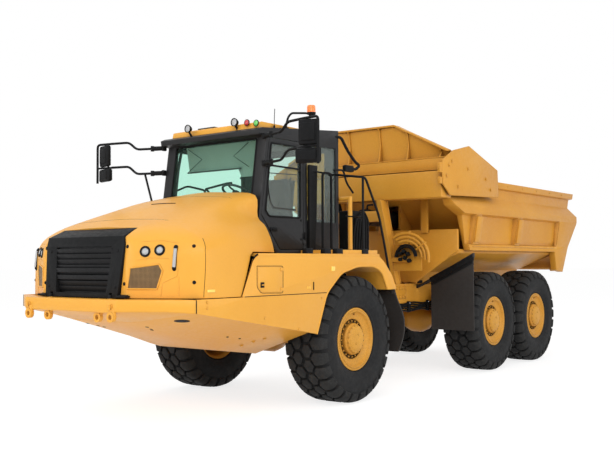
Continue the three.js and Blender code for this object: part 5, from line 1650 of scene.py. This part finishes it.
def makeRamTrim():
    # gland rings, hose ports and clamps on the telescopic cylinder and the steering cylinders
    black = bmesh.new()
    barrel = Matrix.Translation(spot(0, 0, 2.47)) @ Matrix.Rotation(-math.pi / 2, 4, "X")
    for y in (2.42, 3.36):
        ring = [(0.129, y - 0.03), (0.139, y - 0.027), (0.139, y + 0.027), (0.129, y + 0.03)]
        turnedRing(black, ring, barrel, 40)
    addBar(black, [(0.05, 2.36, 2.59), (0.06, 2.34, 2.66), (0.2, 2.28, 2.66)], 0.016, bend=0.04, steps=5)
    newPiece("ramFittings", black, "rear_frame", "blackPaint")
    # steering cylinders: ends at the tractor and at the rear frame, as (across, along)
    bx, by, ex, ey = 0.55, 0.3, 0.45, 1.65
    length = math.hypot(ex - bx, ey - by)
    for side, name in bothSides:
        bm = bmesh.new()
        direction = Vector((side * (ex - bx) / length, (ey - by) / length, 0))
        matrix = pointing(spot(side * bx, by, 0.87), direction)
        turnedRing(bm, [(0.06, 0.86), (0.074, 0.862), (0.074, 0.9), (0.041, 0.902)], matrix, 32)
        turnedRing(bm, [(0.06, 0.1), (0.072, 0.102), (0.072, 0.13), (0.06, 0.132)], matrix, 32)
        newPiece(f"steerFittings_{name}", bm, f"steering_barrel_{name}", "blackPaint")
    print("rams ready")


makeRamTrim()


# stage, light and camera
stageLook = {"floorSize": 400, "floorGap": 0.001, "floorSeen": 0.42, "floorBounce": 0.9, "floorWhite": 0.78,
             "worldFill": 0.5}


def makeStage():
    look = stageLook
    bm = bmesh.new()
    s = look["floorSize"] / 2
    z = cadBox[0][2] - look["floorGap"]
    bm.faces.new([bm.verts.new((x, y, z)) for x, y in ((-s, -s), (s, -s), (s, s), (-s, s))])
    floor = linked("floorPlane", meshOf("floorPlane", bm))
    material = bpy.data.materials.new("paleFloor")
    material.use_nodes = True
    tree = material.node_tree
    tree.nodes.clear()
    output = tree.nodes.new("ShaderNodeOutputMaterial")
    total = tree.nodes.new("ShaderNodeAddShader")
    matt = tree.nodes.new("ShaderNodeBsdfDiffuse")
    # the floor gives back more light to the underside than the eye sees on it
    tone = tree.nodes.new("ShaderNodeMapRange")
    tone.inputs["To Min"].default_value = look["floorBounce"]
    tone.inputs["To Max"].default_value = look["floorSeen"]
    tree.links.new(lightPathSum(tree, 1.0), tone.inputs["Value"])
    tree.links.new(tone.outputs[0], matt.inputs["Color"])
    glow = tree.nodes.new("ShaderNodeEmission")
    tree.links.new(lightPathSum(tree, look["floorWhite"]), glow.inputs["Strength"])
    tree.links.new(matt.outputs[0], total.inputs[0])
    tree.links.new(glow.outputs[0], total.inputs[1])
    tree.links.new(total.outputs[0], output.inputs["Surface"])
    floor.data.materials.append(material)

    world = bpy.data.worlds.new("studioWorld")
    bpy.context.scene.world = world
    world.use_nodes = True
    tree = world.node_tree
    background = tree.nodes["Background"]
    background.inputs["Color"].default_value = (1, 1, 1, 1)
    seen = lightPathSum(tree, 1 - look["worldFill"])
    add = tree.nodes.new("ShaderNodeMath")
    add.inputs[1].default_value = look["worldFill"]
    tree.links.new(seen, add.inputs[0])
    tree.links.new(add.outputs[0], background.inputs["Strength"])


def lightPathSum(tree, strength):
    # strength for rays from the camera, from gloss and through glass, and 0 for the rest
    path = tree.nodes.new("ShaderNodeLightPath")
    first = tree.nodes.new("ShaderNodeMath")
    first.operation = "MAXIMUM"
    second = tree.nodes.new("ShaderNodeMath")
    second.operation = "MAXIMUM"
    scale = tree.nodes.new("ShaderNodeMath")
    scale.operation = "MULTIPLY"
    scale.inputs[1].default_value = strength
    tree.links.new(path.outputs["Is Camera Ray"], first.inputs[0])
    tree.links.new(path.outputs["Is Glossy Ray"], first.inputs[1])
    tree.links.new(first.outputs[0], second.inputs[0])
    tree.links.new(path.outputs["Is Transmission Ray"], second.inputs[1])
    tree.links.new(second.outputs[0], scale.inputs[0])
    return scale.outputs[0]


lamps = {
    # name: (place, aim, width, height, power)
    "keySoft": ((9, -13, 9), (0, -1, 1.5), 10, 10, 900),
    "topSoft": ((-2, -3, 12), (0, 0, 1.5), 14, 14, 280),
    "fillSoft": ((13, 1, 4), (0, 1, 1.5), 10, 6, 400),
    "noseSoft": ((-3, -16, 4), (0, -4, 1.6), 10, 6, 420),
    "backSoft": ((-9, 12, 9), (0, 2, 1.5), 8, 8, 180),
}


def makeLamps():
    for name, (place, aim, width, height, power) in lamps.items():
        data = bpy.data.lights.new(name, "AREA")
        data.shape = "RECTANGLE"
        data.size, data.size_y, data.energy = width, height, power
        lamp = linked(name, data)
        lamp.location = place
        lamp.rotation_euler = (Vector(aim) - Vector(place)).to_track_quat("-Z", "Y").to_euler()


cameraLook = {"place": (7.534, -11.077, 1.774), "yaw": 37.478, "pitch": -2.157, "roll": -0.276, "lens": 50.31}


def makeCamera():
    look = cameraLook
    yaw, pitch = math.radians(look["yaw"]), math.radians(look["pitch"])
    forward = Vector((-math.sin(yaw) * math.cos(pitch), math.cos(yaw) * math.cos(pitch), -math.sin(pitch)))
    data = bpy.data.cameras.new("viewCamera")
    data.sensor_width, data.sensor_fit, data.lens = 36, "HORIZONTAL", look["lens"]
    data.clip_end = 1000
    camera = linked("viewCamera", data)
    turn = forward.to_track_quat("-Z", "Y").to_matrix().to_4x4()
    roll = Matrix.Rotation(math.radians(look["roll"]), 4, "Z")
    camera.matrix_world = Matrix.Translation(look["place"]) @ turn @ roll
    bpy.context.scene.camera = camera


makeStage()
makeLamps()
makeCamera()
bpy.context.scene.view_settings.view_transform = "Standard"
print("stage ready")

bpy.context.view_layer.update()
